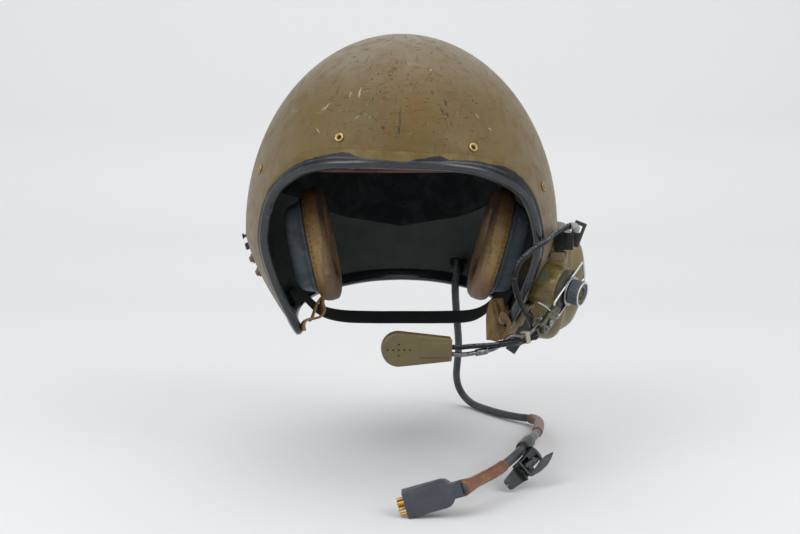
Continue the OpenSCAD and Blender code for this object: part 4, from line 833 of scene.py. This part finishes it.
def dome_skin(name, edge, off_out, off_in, rows, mats, lip=2, node=None):
    """A closed skin from the crown down to an edge, with a rounded lip."""
    n = len(edge)
    verts = [skin(0, 0, off_out), skin(0, 0, off_in)]
    levels = [(off_out, r / rows) for r in range(1, rows + 1)]
    mid, half = (off_out + off_in) / 2, (off_out - off_in) / 2
    for k in range(1, lip):
        a = 180 * k / lip
        levels.append((mid + half * cos(a), 1 + 0.35 * half / 140 * sin(a)))
    levels += [(off_in, r / rows) for r in range(rows, 0, -1)]
    for off, f in levels:
        for e in edge:
            g = min(f, 1.0)
            verts.append(skin(mix(e[2], e[0], g ** 2), sink_of(e[1], off) * f, off))
    m = len(levels)
    faces, face_mats = [], []
    for i in range(n):
        last = 2 + (m - 1) * n
        faces += [(0, 2 + (i + 1) % n, 2 + i), (1, last + i, last + (i + 1) % n)]
        face_mats += [0, 1]
    for j in range(m - 1):
        for i in range(n):
            a, b = 2 + j * n + i, 2 + j * n + (i + 1) % n
            faces.append((a, b, b + n, a + n))
            face_mats.append(0 if j < rows + lip // 2 else 1)
    if len(mats) == 1:
        face_mats = None
    return make(name, verts, faces, None, mats=mats, face_mats=face_mats, node=node)


# how far a scratch lies above the shell, and the highest level it may reach
SCRATCH_LIFT, SCRATCH_TOP = 0.07, 112.6


def laid(name, count, mat, where, long, wide, turns, seed, chip=False):
    """Fine scratches or small chips, each a sliver that lies on the shell."""
    dice = random.Random(seed)
    verts, faces = [], []
    while count:
        a, z = where(dice)
        turn, length = dice.choice(turns) + dice.gauss(0, 14), dice.uniform(*long)
        w, curl = dice.uniform(*wide), dice.gauss(0, 16)
        count -= 1
        n, at = (3 if chip else 5), len(verts)
        here, rows = skin_at(a, z), []
        for k in range(n + 1):
            f = k / n - 0.5
            slope = turn + curl * f
            dx, dz = f * length * cos(slope), f * length * sin(slope)
            half = w / 2 * math.sqrt(max(0.02, 1 - (2 * f) ** 2)) * dice.uniform(0.6, 1.25)
            rows.append((dx, dz, half, slope))
        r = math.hypot(here.x, here.y)
        for dx, dz, half, t in rows:
            for s in (-1, 1):
                da = math.degrees((dx - s * half * sin(t)) / max(25, r))
                level = min(SCRATCH_TOP, z + dz + s * half * cos(t))
                verts.append(skin_at(a + da, level, SCRATCH_LIFT))
        faces += [(at + 2 * k, at + 2 * k + 2, at + 2 * k + 3, at + 2 * k + 1) for k in range(n)]
    return make(name, verts, faces, mat)


def on_forehead(dice):
    return dice.gauss(-90, 24), min(104, max(19, dice.gauss(56, 24)))


def all_over(dice):
    return dice.uniform(-180, 180), 110 - 135 * dice.random() ** 1.3 * 0.75


# name, how many, paint, where, lengths, widths, turns in degrees, seed, whether short chips
for row in (
        ("scratches_dark", 105, "scratch_dark", on_forehead, (2, 9), (0.25, 0.5), (0, 0, 90, 35), 3),
        ("scratches_pale", 48, "scratch_pale", on_forehead, (1.5, 5), (0.2, 0.4),
         (0, 60, 90, -40), 5),
        ("chips_dark", 60, "chip_dark", on_forehead, (0.7, 2), (0.5, 1.2), (0, 45, 90), 8, True),
        ("chips_pale", 24, "scratch_pale", on_forehead, (0.6, 1.4), (0.4, 0.8),
         (0, 45, 90), 9, True),
        ("scratches_round", 100, "scratch_dark", all_over, (1.5, 5), (0.2, 0.4),
         (0, 90, 45, -30), 11),
        ("chips_round", 70, "chip_dark", all_over, (0.7, 2), (0.5, 1.1), (0, 45, 90), 12, True)):
    laid(*row)

dome_skin("shell_piece", RIM, 0, -WALL, 54, ["shell", "inner"])

# edge trim
LEG, TRIM_THICK, TRIM_GAP = 8.0, 1.8, 0.6
section = [(LEG, 0.1), (LEG + 0.25, 0.5), (LEG - 0.1, 0.95), (LEG - 1.4, 1.1), (5, 1.2),
           (3, 1.3), (1.5, 1.4), (0, 1.5)]
for k in range(1, 14):
    a = 90 - 180 * k / 14
    section.append((-0.8 - 3.0 * max(0.0, cos(a)) ** 0.8, -2.05 + 3.55 * sin(a)))
section += [(0, -5.6), (1.5, -5.75), (4, -5.7), (5.6, -5.6), (6.4, -5.2), (6.4, -4.35),
            (3, -4.35), (0, -4.35), (-0.3, -2), (0, 0.1), (4, 0.1)]
n_rim = len(RIM)
base = [skin_at(e[0], e[1]) for e in RIM]
verts, depth, paint, dull, gloss = [], [], [], [], []
for i, e in enumerate(RIM):
    t = (base[(i + 1) % n_rim] - base[i - 1]).normalized()
    up = outward(e[0], e[1]).cross(t).normalized()
    aside = t.cross(up)
    # the butt joint of the edging shows as a narrow groove on the brow
    seam = math.exp(-((base[i] - skin_at(-106, 12.2)).length / 0.8) ** 2)
    for x, y in section:
        if x > 0 and y > -1:
            x *= e[3] / LEG
        if x > 0:
            q = base[i] + x * up
            p = skin_at(az_of(q), q[2], y - 0.3 * seam)
        else:
            p = base[i] + x * (1 - 0.1 * seam) * up + (y - 0.25 * seam) * aside
        verts.append(p)
        depth.append(e[3] - x if y > -1.0 else 40)
        paint.append(e[4])
        dull.append(0.2 if x < 0.5 else 0.42)
        gloss.append(0.7 if x < 0.5 else 0.2)
make("edge_trim_piece", verts, ring_faces(len(section), n_rim, loop=True), "trim",
     marks={"depth": depth, "paint": paint, "dull": dull, "gloss": gloss})

# liner, headband, crown straps
LIE = 1.3
LINER = both_sides(smooth([(-90, 26), (-62, 22), (-44, 12), (-28, -2), (0, -8), (35, -20),
                           (62, -40), (90, -52)], 12))
dome_skin("liner_piece", LINER, -WALL - LIE, -WALL - LIE - 9, 34, ["foam"], 6, "impact_liner")

BAND_OUT = -WALL - LIE - 9 - LIE
BAND_IN = BAND_OUT - 3.5
rings = []
for i in range(120):
    a = 3.0 * i
    wave = 0.25 * sin(a * 9) + 0.2 * sin(a * 17 + 40)
    ring = []
    for k in range(13):
        z = 5 + 30 * k / 12
        ring.append(skin_at(a, z, BAND_OUT - 0.3))
    for k in range(13):
        z = 35 - 30 * k / 12
        puff = sin(180 * k / 12)
        ring.append(skin_at(a, z, BAND_IN - wave * puff * 0.5 + 0.8 * (1 - puff) ** 3))
    rings.append(ring)
loft("headband_piece", rings, "band", loop=True, flip=True)

STRAP_OFF = BAND_IN - LIE - 0.3 - 0.8
STRAP_TOP = WIDE_Z + (CROWN + STRAP_OFF) * cos(math.degrees(math.asin(24 / (HALF_W + STRAP_OFF))))
levels = [11, 21, 40, 58, 74, STRAP_TOP - 5, STRAP_TOP]
for a in range(0, 360, 60):
    az = a + 30
    path = smooth([skin_at(az, z, STRAP_OFF) for z in levels], 6)
    strap("crown_strap_%d" % (a // 60), path, 24, 1.6, (cos(az), sin(az), 0.01),
                           "olive_web")
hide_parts("crown_straps")
ring_z = STRAP_TOP - 0.8 - 0.6 - 2
tube("crown_ring_piece", [(23 * cos(6 * i), 23 * sin(6 * i), ring_z) for i in range(60)], 4,
     "dark_metal", 16, loop=True)


# ear cushions and cups
def at_ear(side, p):
    tilt = side * 11 + (4 if side > 0 else 0)
    x, y, z = p[0] * side, p[1], p[2]
    return V((4 + side * 69 + x * cos(tilt) + z * sin(tilt), -5 + y,
              -56 - x * sin(tilt) + z * cos(tilt)))


def oval(d, h, n, power=0.8):
    """n points on an outline between an ellipse and a rectangle."""
    out = []
    for i in range(n):
        c, s = cos(360 * i / n), sin(360 * i / n)
        out.append((d / 2 * math.copysign(abs(c) ** power, c),
                    h / 2 * math.copysign(abs(s) ** power, s)))
    return out


CUSHION_D, CUSHION_H, CUSHION_T = 96, 94, 16
# section round the padded ring: depth across, and how far in from the outer outline
PAD = [(-8.0, 17), (-8.0, 12), (-7.8, 8), (-7.1, 4), (-5.6, 1.4), (-4.6, 0.9), (-3.4, 0.5),
       (-1.5, 0.1), (0.8, 0.0), (3.0, 0.4), (4.8, 1.0), (5.5, 1.9), (6.3, 1.7), (7.4, 3.2),
       (8.0, 6.5), (8.0, 12), (8.0, 20), (7.6, 24.5), (6.2, 26.6), (4.0, 27.6), (0.0, 28),
       (-4.0, 27.3), (-6.4, 25.5), (-7.6, 22)]


def seam_x(z):
    """Where the face leather meets the side leather: nearer the cup towards the foot."""
    return -4.7 + 8.2 * min(1.0, max(0.0, (8 - z) / 50))


def cushion(side, name):
    """A padded leather ring, its face and its side in two leathers."""
    n = 120
    out, inner = oval(CUSHION_D, CUSHION_H, n), oval(CUSHION_D * 0.42, 52, n)
    rings = []
    for i, ((y0, z0), (y1, z1)) in enumerate(zip(out, inner)):
        ring = []
        for k, (x, q) in enumerate(PAD):
            f = q / 28.0
            a = 360 * i / n
            wrinkle = 0.35 * sin(a * 11 + 50 * side) * sin(a * 3 + 20) + 0.25 * sin(a * 23 + k * 9)
            push = wrinkle * (1.0 if x < 2 else 0.5)
            ring.append(at_ear(side, (x + push * 0.5 * (1 if k < 16 else 0.4),
                                      mix(y0, y1, f) * (1 - 0.004 * push),
                                      mix(z0, z1, f) * (1 - 0.004 * push))))
        rings.append(ring)
    faces = ring_faces(len(PAD), n, loop=True)
    if side > 0:
        faces = [tuple(reversed(f)) for f in faces]
    mats = [int(x < seam_x(z) or q > 14) for _, z in out for x, q in PAD]
    ob = make(name, [p for r in rings for p in r], faces, None, mats=["cushion", "cushion_face"],
              face_mats=mats)
    return ob


STITCH, STITCH_PITCH = 2.4, 4.2


def stitches(name, side, x, inset, d=0.75):
    """Short thread stitches along a seam of a cushion."""
    out = oval(CUSHION_D - 2 * inset, CUSHION_H - 2 * inset, 720)
    total = [0.0]
    for a, b in zip(out, out[1:] + out[:1]):
        total.append(total[-1] + math.dist(a, b))
    verts, faces = [], []
    for c in range(int(total[-1] / STITCH_PITCH)):
        pts = []
        for k in range(5):
            s = c * STITCH_PITCH + STITCH * k / 4
            i = next((j for j in range(720) if total[j + 1] >= s), 719)
            f = (s - total[i]) / max(1e-6, total[i + 1] - total[i])
            a, b = out[i], out[(i + 1) % 720]
            lift = 0.28 * sin(180 * k / 4) - 0.1
            y, z = mix(a[0], b[0], f), mix(a[1], b[1], f)
            r = math.hypot(y, z)
            pts.append(at_ear(side, (x(z), y * (1 + lift / r), z * (1 + lift / r))))
        q, t, sd = carried(pts, (1, 0.01, 0))
        at = len(verts)
        for i, p in enumerate(q):
            w = t[i].cross(sd[i])
            k = (0.35, 0.9, 1.0, 0.9, 0.35)[i]
            for j in range(6):
                verts.append(p + d / 2 * k * (cos(60 * j) * sd[i] + sin(60 * j) * w))
        faces += [tuple(at + v for v in f) for f in ring_faces(6, 5) + end_faces(6, 5)]
    return make(name, verts, faces, "thread")


CUP_LOW = 8.3


def cup(side, name):
    """A hollow ear cup with a rounded bead round its mouth."""
    n, top_x = 96, CUP_LOW + 17
    prof = [(CUP_LOW, 70, 5), (CUP_LOW + 0.3, 76, 2), (CUP_LOW + 1.2, 79, 0.6), (CUP_LOW + 2.2, 79.6, 0),
            (CUP_LOW + 3.2, 78.8, 0.6), (CUP_LOW + 4.2, 76.2, 1.6), (CUP_LOW + 5.4, 74.6, 2.6),
            (CUP_LOW + 8, 73, 3.3), (CUP_LOW + 11, 71.5, 4), (top_x - 3.4, 69, 5), (top_x - 1.2, 65, 7),
            (top_x - 0.2, 60, 10), (top_x, 52, 14), (top_x, 30, 26), (top_x, 2, 38),
            (top_x - 2.5, 2, 38), (top_x - 2.5, 50, 15), (top_x - 3.4, 60, 10),
            (top_x - 6, 64, 8), (CUP_LOW + 4, 66, 6.4), (CUP_LOW + 0.4, 67, 6)]
    rings = []
    for x, h, _ in prof:
        d = h * 68 / 80
        ring = []
        for i, (y, z) in enumerate(oval(d, h, n)):
            a = 360 * i / n
            soft = 1 + 0.006 * sin(3 * a + 40) + 0.004 * sin(7 * a)
            ring.append(at_ear(side, (x, y * soft, z * soft)))
        rings.append(ring)
    faces = ring_faces(n, len(rings), loop=True)
    if side < 0:
        faces = [tuple(reversed(f)) for f in faces]
    return make(name, [p for r in rings for p in r], faces, "cup")


for side, tag in ((1, "left"), (-1, "right")):
    cushion(side, "ear_cushion_%s_piece" % tag)
    stitches("ear_cushion_%s_stitches" % tag, side, lambda z: 5.5, 1.55)
    stitches("ear_cushion_%s_face_stitches" % tag, side, lambda z: seam_x(z) - 0.5, 0.6, d=0.65)
    cup(side, "ear_cup_%s_piece" % tag)
    dress("earphone_" + tag, "black")

# straps
def tab(name, left, right):
    """A crumpled leather tab between two edges seen from the front."""
    left, right = smooth(left, 8), smooth(right, 8)
    n, thick, rings = 11, 1.6, []
    for j, (a, b) in enumerate(zip(left, right)):
        front, back = [], []
        for i in range(n):
            f = i / (n - 1)
            p = mix(V(a), V(b), f)
            fold = 1.3 * sin(j * 31 + i * 47) + 1.0 * sin(j * 13 - i * 71 + 60)
            fold *= min(1, 4 * j / len(left)) * (0.4 + 0.6 * sin(180 * f))
            edge = 0.35 * thick * math.sqrt(max(0.0, 1 - (2 * f - 1) ** 8))
            front.append(p + V((0, fold - edge, 0.3 * fold)))
            back.append(p + V((0, fold + edge, 0.3 * fold)))
        rings.append(front + back[::-1])
    return loft(name, rings, "strap")


tab("tie_strap_left_piece", [(71.4, -34, -98), (67.6, -40, -107.7), (67.1, -43, -117.7),
                             (67.3, -45, -129.5)],
    [(81, -35, -97), (83.2, -41, -109), (84, -44, -119.6), (79.5, -45, -130)])
strap("tie_strap_left_fold", smooth([
    [74.2, -38, -99.9], [75.6, -45, -107.9], [77.3, -48.5, -113.6], [79.3, -50, -113],
    [79.3, -51, -107.6], [82, -52, -109.8], [84.4, -52, -116.2], [83, -50, -122.9],
    [79.4, -48, -127]], 8), 4.5, 1.6, (1, 0, -0.2), "strap")
strap("tie_strap_right_piece", smooth([
    [-63.8, -33, -97], [-63.4, -38, -103.2], [-61.9, -42, -107.4], [-64.6, -44, -110.9],
    [-70.1, -45, -112.3], [-75.2, -46, -113.2], [-77.8, -48, -116.4], [-77.2, -49, -121.4]], 8),
    9.5, 2, (-0.6, 0.3, 0.7), "tan")
strap("tie_strap_right_fold", smooth([
    [-65.4, -36, -98.1], [-67.4, -41, -101.4], [-68.9, -44, -105.9], [-70.8, -46, -111.4],
    [-73, -47, -114]], 8), 6.5, 1.6, (-0.8, -0.3, 0.3), "tan")
NAPE_OFF = -WALL - TRIM_GAP - TRIM_THICK - 0.9 - 0.8
ends = [(6, -109), (13, -108.5), (20, -110)]
nape_pts = [skin_at(a, z, NAPE_OFF) for a, z in ends] + [
    [74, 60, -121], [61, 80, -130], [35, 101, -134.5], [4, 107, -135.5], [-27, 101, -134.5],
    [-55, 81, -130], [-73, 60, -121]] + [
    skin_at(180 - a, z, NAPE_OFF) for a, z in reversed(ends)]
strap("nape_strap_piece", smooth(nape_pts, 8), 14, 1.6, outward(6, -109), "dark_web")

keeper = Matrix.Translation(skin_at(-18, -108) + V((4.9, -1.1, 0))) @ Matrix.Rotation(
    math.radians(-20), 4, "Z") @ Matrix.Rotation(math.radians(24), 4, "Y")
z0, x0 = -4 + 0.75 + 1, 2.2 + 0.6 + 1
chin = [(-1.8, 0, z0), (0.4, 0, z0), (x0 - 0.9, 0, z0 - 0.9), (x0, 0, z0 - 3.4),
        (x0 + 0.2, -1, -13), (x0 - 0.4, -3.5, -23), (x0 - 1.6, -6.5, -33)]
chin = [keeper @ V(p) for p in chin]
strap("chin_strap_piece", smooth(chin, 8), 11, 2, (0.72, -0.66, 0.2), "green_web")
bevelled("strap_keeper", "olive_metal", 0.7)
tube("tie_ring_piece", [(79.6 + 2.6 * cos(15 * i), -52.6 + 1.6 * sin(15 * i),
                         -111 + 4 * sin(15 * i)) for i in range(24)], 0.8, "alu", 10, loop=True)
dress("tie_rivets", "copper")
eyelets = []
for a, z in ((-113.5, 30), (-63.5, 23), (-154.5, 6), (-29, -7), (125, 8), (55, 8)):
    o = outward(a, z)
    u = o.orthogonal().normalized()
    w = o.cross(u)
    rings = [[skin_at(a, z, 0) + r * (cos(15 * i) * u + sin(15 * i) * w) + h * o
              for i in range(24)]
             for r, h in ((3.3, 0.2), (3.6, 0.55), (3.4, 1.0), (2.9, 1.25), (2.3, 1.2), (1.75, 0.9),
                          (1.5, 0.4), (0.05, 0.35))]
    eyelets.append(loft("screw_eyelet_%d" % len(eyelets), rings, "eyelet"))
    ring = eyelets[-1].data
    # the shallow dish in each eyelet's middle is painted near-black as the shade of its hollow
    ring.materials.append(M["hole"])
    for f in ring.polygons:
        if (f.center / MM - skin_at(a, z, 0.6)).length < 1.62:
            f.material_index = 1
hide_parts("shell_screws")
bevelled("side_hook", "dark_metal", 0.25)
dress("side_studs", "olive_metal")


# ear dome and boss
DOME_R, DOME_BULGE, DOME_TILT, DOME_WALL, CORNER = 50.5, 18, 7, 3, 9
DOME_OUT, DOME_UP, DOME_SIDE = ahead(DOME_TILT, 0), above(DOME_TILT, 0), V((0, 1, 0))
DOME_MID = V((138, 28.5, -92))


def in_shell(p, off):
    s = sink_of(p[2], off)
    return ((p[0] / (HALF_W * share(s, JAW) + off)) ** 2
            + (p[1] / ((FRONT if p[1] < 0 else BACK) * share(s, NAPE) + off)) ** 2) < 1


def reach(p, v, off, lo, hi):
    for _ in range(18):
        m = (lo + hi) / 2
        lo, hi = (m, hi) if in_shell(p + m * v, off) else (lo, m)
    return hi


def dome_point(r, a, h):
    return DOME_MID + r * cos(a) * DOME_SIDE + r * sin(a) * DOME_UP + h * DOME_OUT


def dome_foot(r, a):
    p = dome_point(r, a, 0)
    off = mix(0.3, 3.0, min(1, max(0, (NAPE_Z + 6 - p.z) / 8)))
    return dome_point(r, a, reach(p, DOME_OUT, off, -70, 0))


n = 128
ang = [360 * i / n for i in range(n)]
prof = [(DOME_R - CORNER * (1 - cos(20 * k)), CORNER * (sin(20 * k) - 1)) for k in range(5)]
prof += [(DOME_R * q, DOME_BULGE * (1 - q * q) - 0.4) for q in (0.7, 0.5, 0.3, 0.1)]
prof = smooth(prof, 4)
rings = [[dome_foot(DOME_R - DOME_WALL, a) for a in ang],
         [dome_foot(DOME_R - 0.3, a) for a in ang],
         [dome_foot(DOME_R, a) + 0.5 * DOME_OUT for a in ang]]
rings += [[mix(dome_foot(DOME_R, a), dome_point(DOME_R, a, -CORNER), f) for a in ang]
          for f in (0.2, 0.5, 0.8)]
rings += [[dome_point(r, a, h) for a in ang] for r, h in prof + [(0.4, DOME_BULGE - 0.4)]]
loft("ear_dome_piece", rings, "dome")

# the clamp: its axis points outward, forward and a little down; the bail hangs from it, turned
# forward by BAIL_TURN
CLAMP_DIP, CLAMP_TURN, BAIL_TURN = 11.5, -32, -55
CLAMP = V((131, -54, -88.5))
CLAMP_OUT = ahead(CLAMP_DIP, CLAMP_TURN)
BAIL_LONG = cos(BAIL_TURN) * -above(CLAMP_DIP, CLAMP_TURN) + sin(BAIL_TURN) * V((
    -sin(CLAMP_TURN), cos(CLAMP_TURN), 0))
BAIL_SIDE = CLAMP_OUT.cross(BAIL_LONG)


def from_clamp(x, y, z):
    return CLAMP + x * BAIL_LONG + y * BAIL_SIDE + z * CLAMP_OUT


WASHER_FACE, WASHER_T, GAP = 1.05, 3.5, 0.3
BOSS_R, BOSS_ROUND, BOSS_TOP = 17, 2.5, -WASHER_FACE - WASHER_T - GAP
boss_prof = [(BOSS_R + BOSS_ROUND * (cos(15 * k) - 1), BOSS_TOP + BOSS_ROUND * (sin(15 * k) - 1))
             for k in range(7)]


def boss_foot(r, a):
    p = from_clamp(r * cos(a), r * sin(a), 0)
    return p + reach(p, CLAMP_OUT, 0.3, -60, 0) * CLAMP_OUT


def boss_point(r, a, z):
    return from_clamp(r * cos(a), r * sin(a), z)


rings = [[boss_foot(BOSS_R - 0.4, a) for a in ang],
         [boss_foot(BOSS_R, a) + 0.4 * CLAMP_OUT for a in ang]]
rings += [[mix(boss_foot(BOSS_R, a), boss_point(BOSS_R, a, BOSS_TOP - BOSS_ROUND), f) for a in ang]
          for f in (0.3, 0.65)]
rings += [[boss_point(r, a, z) for a in ang]
          for r, z in boss_prof + [(12, BOSS_TOP), (6, BOSS_TOP), (0.5, BOSS_TOP)]]
loft("boom_boss_piece", rings, "boss")

# clamp, knob, bail, plate
dress("friction_washer", "washer")
dress("plate_rivets", "plate")
dress("mic_capsule", "hole")
bevelled("clamp_washer", "steel", 0.25, body="clamp")
KNOB_SLIM = (CLAMP + 3.2 * CLAMP_OUT, CLAMP_OUT, 0.87, 0.8)
bevelled("boom_knob", "knob", 0.3, sharp=50, body="knob", slim=KNOB_SLIM)
bevelled("knob_rim", "rim", 0.25, body="knob", slim=KNOB_SLIM)
bevelled("knob_screw", "old_brass", 0.15, body="knob", slim=KNOB_SLIM)
bevelled("clamp_stud", "steel", 0.15, slim=(CLAMP, CLAMP_OUT, 1.0, 0.85))
BAIL_LOW, BAIL_HIGH, BAIL_W, BAIL_R = 25, 26, 9, 3
low, high, half = BAIL_LOW - BAIL_R, BAIL_R - BAIL_HIGH, BAIL_W - BAIL_R
bail = []
for cx, cy, a0 in ((low, half, 0), (low, -half, 90), (high, -half, 180), (high, half, 270)):
    bail += [from_clamp(cx + BAIL_R * sin(a0 + 11.25 * k), cy + BAIL_R * cos(a0 + 11.25 * k), 0)
             for k in range(9)]
tube("boom_bail_piece", bail, 2, "wire", 14, CLAMP_OUT, loop=True, body="bail")
PLATE_HOLE = 37.1
bevelled("pivot_plate", "plate", 0.5, body="plate")
bevelled("swivel_bolt", "bolt", 0.3, body="boom")
start = from_clamp(PLATE_HOLE - 5, -7.5, 0)
wire = [start, start + V((-2.6, -1.2, 2.6)), start + V((-7.2, -3.6, 5.6)),
        start + V((-9.4, -4.6, 7))]
tube("plate_wire_piece", smooth(wire, 8), 1.2, "wire", 10, body="plate")

# boom and microphone
PLATE_T, EYE_T = 4, 3.4
SWIVEL = from_clamp(PLATE_HOLE, 0, -PLATE_T / 2 - EYE_T / 2 - 0.05)
boom = lambda x, y, z: list(SWIVEL + V((x, y, z)))
COLLAR = V(boom(-14.2, -9, -11.2))
COLLAR_DIP, COLLAR_TURN = 11.8, -142.4
COLLAR_X, COLLAR_Z = ahead(COLLAR_DIP, COLLAR_TURN), above(COLLAR_DIP, COLLAR_TURN)
in_collar = lambda x, z: list(COLLAR + x * COLLAR_X + z * COLLAR_Z)
MIC = V(boom(-110.6, -41.2, -14.3))
MIC_DIP, MIC_TURN = 1, 4.5
MIC_X = ahead(MIC_DIP, MIC_TURN)
MIC_FRONT = V((sin(MIC_TURN), -cos(MIC_TURN), 0))
in_mic = lambda x, y, z: list(MIC + x * MIC_X + y * MIC_FRONT.cross(MIC_X) + z * MIC_FRONT)
ROD_UP, CABLE_UP, DEPTH = 1.9, -2.5, -2.6
rod = smooth([boom(-2.75, -1.8, -2.15), in_collar(-5, ROD_UP), in_collar(0, ROD_UP),
              in_collar(5, ROD_UP), boom(-26, -17, -9.2), boom(-33.3, -20.6, -14.2),
              boom(-41.5, -27, -17.4), boom(-57, -33.6, -19.2), in_mic(47, -4.6, DEPTH),
              in_mic(41.5, -4.4, DEPTH)], 10) + [in_mic(39.02, -4.4, DEPTH)]
tube("boom_rod_piece", rod, 3.4, "alu", 18, body="boom")
eye_prof = [(1.8, -1.7), (3.6, -1.7), (4.0, -1.3), (4.0, 1.2), (3.6, 1.6), (1.8, 1.6)]
rings = [[SWIVEL + r * (cos(10 * i) * BAIL_LONG + sin(10 * i) * BAIL_SIDE) + z * CLAMP_OUT
          for i in range(36)] for r, z in eye_prof]
loft("boom_eye", rings, "alu", loop=True, body="boom", angle=40)
cable = [in_collar(-3.3, CABLE_UP)] + smooth([
    in_collar(-0.8, CABLE_UP), in_collar(5, CABLE_UP), boom(-24, -20, -13), boom(-34, -26, -13.4),
    boom(-43, -30.6, -13.5), boom(-57, -35.6, -13.4), in_mic(47, 0.9, DEPTH),
    in_mic(41.5, 0.9, DEPTH)], 12) + [in_mic(39.02, 0.9, DEPTH)]
tube("boom_lead_piece", cable, 3.8, "cable", 18, body="boom")
tube("boom_sheath_piece", cable[16:42], 5.2, "black", 18, body="boom")
bevelled("boom_collar", "collar", 0.5, body="boom", slim=(COLLAR, COLLAR_X, 0.84, 0.8))
bevelled("rod_clip", "alu", 0.2, body="boom")
bevelled("mic_body", "mic", 0.5, sharp=25, body="boom")
bevelled("mic_cover", "mic", 0.45, sharp=25, body="boom")

# connector and microphone lead
bevelled("lead_connector", "black", 0.7)
bevelled("connector_clip", "dark_metal", 0.3)
bevelled("socket_bracket", "olive_metal", 0.6)
bevelled("lead_gland", "black", 0.8)
S_END = V((131.4, -49.8, -38.4))
S_WAY = V((-2.2, -1.05, -0.1)).normalized()
sleeve = smooth([[136, -46.4, -43.2], [136.6, -46.8, -40.6], [135.8, -47.6, -38.8],
                 S_END - 2 * S_WAY], 8) + [S_END]
tube("lead_sleeve_piece", sleeve, 5.6, "sleeve", 18)
mic_lead = [S_END + 0.02 * S_WAY] + smooth([
    S_END + 2 * S_WAY, [126, -55, -39.8], [117.2, -67.5, -42.6], [109.5, -82, -47],
    [101.6, -91, -50.5], [93.2, -99, -55], [85.6, -104, -63], [82.8, -106, -73.5],
    [84.8, -105, -84], [88.8, -100, -93.5], [93.3, -92, -101], [97.4, -82.5, -108], [99, -74.7, -113],
    [101.5, -72, -117.5], in_collar(-10.5, CABLE_UP - 0.6), in_collar(-5.8, CABLE_UP)],
    10) + [in_collar(-3.32, CABLE_UP)]
cuts = [0, 70, 100, 128, len(mic_lead) - 1]
pairs = (("helmet", "clamp"), ("clamp", "bail"), ("bail", "plate"), ("plate", "boom"))
for k, (a, b) in enumerate(pairs):
    part = mic_lead[cuts[k]:cuts[k + 1] + 1]
    ob = tube("mic_lead_part_%d" % (k + 1), part, 4.4, "cable", 18, body=None)
    tuple(c * MM for c in part[0])
    tuple(c * MM for c in part[-1])
    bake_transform(ob)
    if k == 0:
        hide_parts("mic_lead")

# floor, light
floor_mesh = bpy.data.meshes.new("floor")
FLOOR_Z, HALF_STAGE = -0.2364, 4
stage = [(-1.6, 0.0), (0.9, 0.0), (1.3, 0.06), (1.55, 0.3), (1.6, 0.8), (1.6, 3.2)]
floor_mesh.from_pydata([(x, y, FLOOR_Z + z) for y, z in stage for x in (-HALF_STAGE, HALF_STAGE)], [],
                       [(2 * j, 2 * j + 1, 2 * j + 3, 2 * j + 2) for j in range(len(stage) - 1)])
floor_mesh.polygons.foreach_set("use_smooth", [True] * len(floor_mesh.polygons))
card = Paint("backdrop", rough=0.9, spec=0.2)
floor_mesh.materials.append(card.colour(card.mix(card.step(card.part(1), 0.2, 1.3),
                                                 (221, 222, 223), (227, 227, 227))))
floor = add("floor", floor_mesh)

world = bpy.data.worlds.new("studio")
bpy.context.scene.world = world
world.use_nodes = True
bg = world.node_tree.nodes["Background"]
bg.inputs["Color"].default_value = (0.97, 0.98, 1.0, 1)
bg.inputs["Strength"].default_value = 0.78


def lamp(name, at, to, size, power):
    data = bpy.data.lights.new(name, "AREA")
    data.shape = "RECTANGLE"
    data.size, data.size_y = size
    data.energy = power
    ob = add(name, data)
    ob.location = at
    ob.rotation_euler = (V(to) - V(at)).to_track_quat("-Z", "Y").to_euler()


lamp("softbox_left", (-1.1, -1.0, 1.3), (0, 0, -0.05), (1.0, 1.0), 11.5)
lamp("softbox_right", (1.2, -0.9, 1.1), (0, 0, -0.05), (0.9, 0.9), 8)
lamp("top_panel", (0, 0.1, 1.9), (0, 0, 0), (2.0, 1.8), 9)
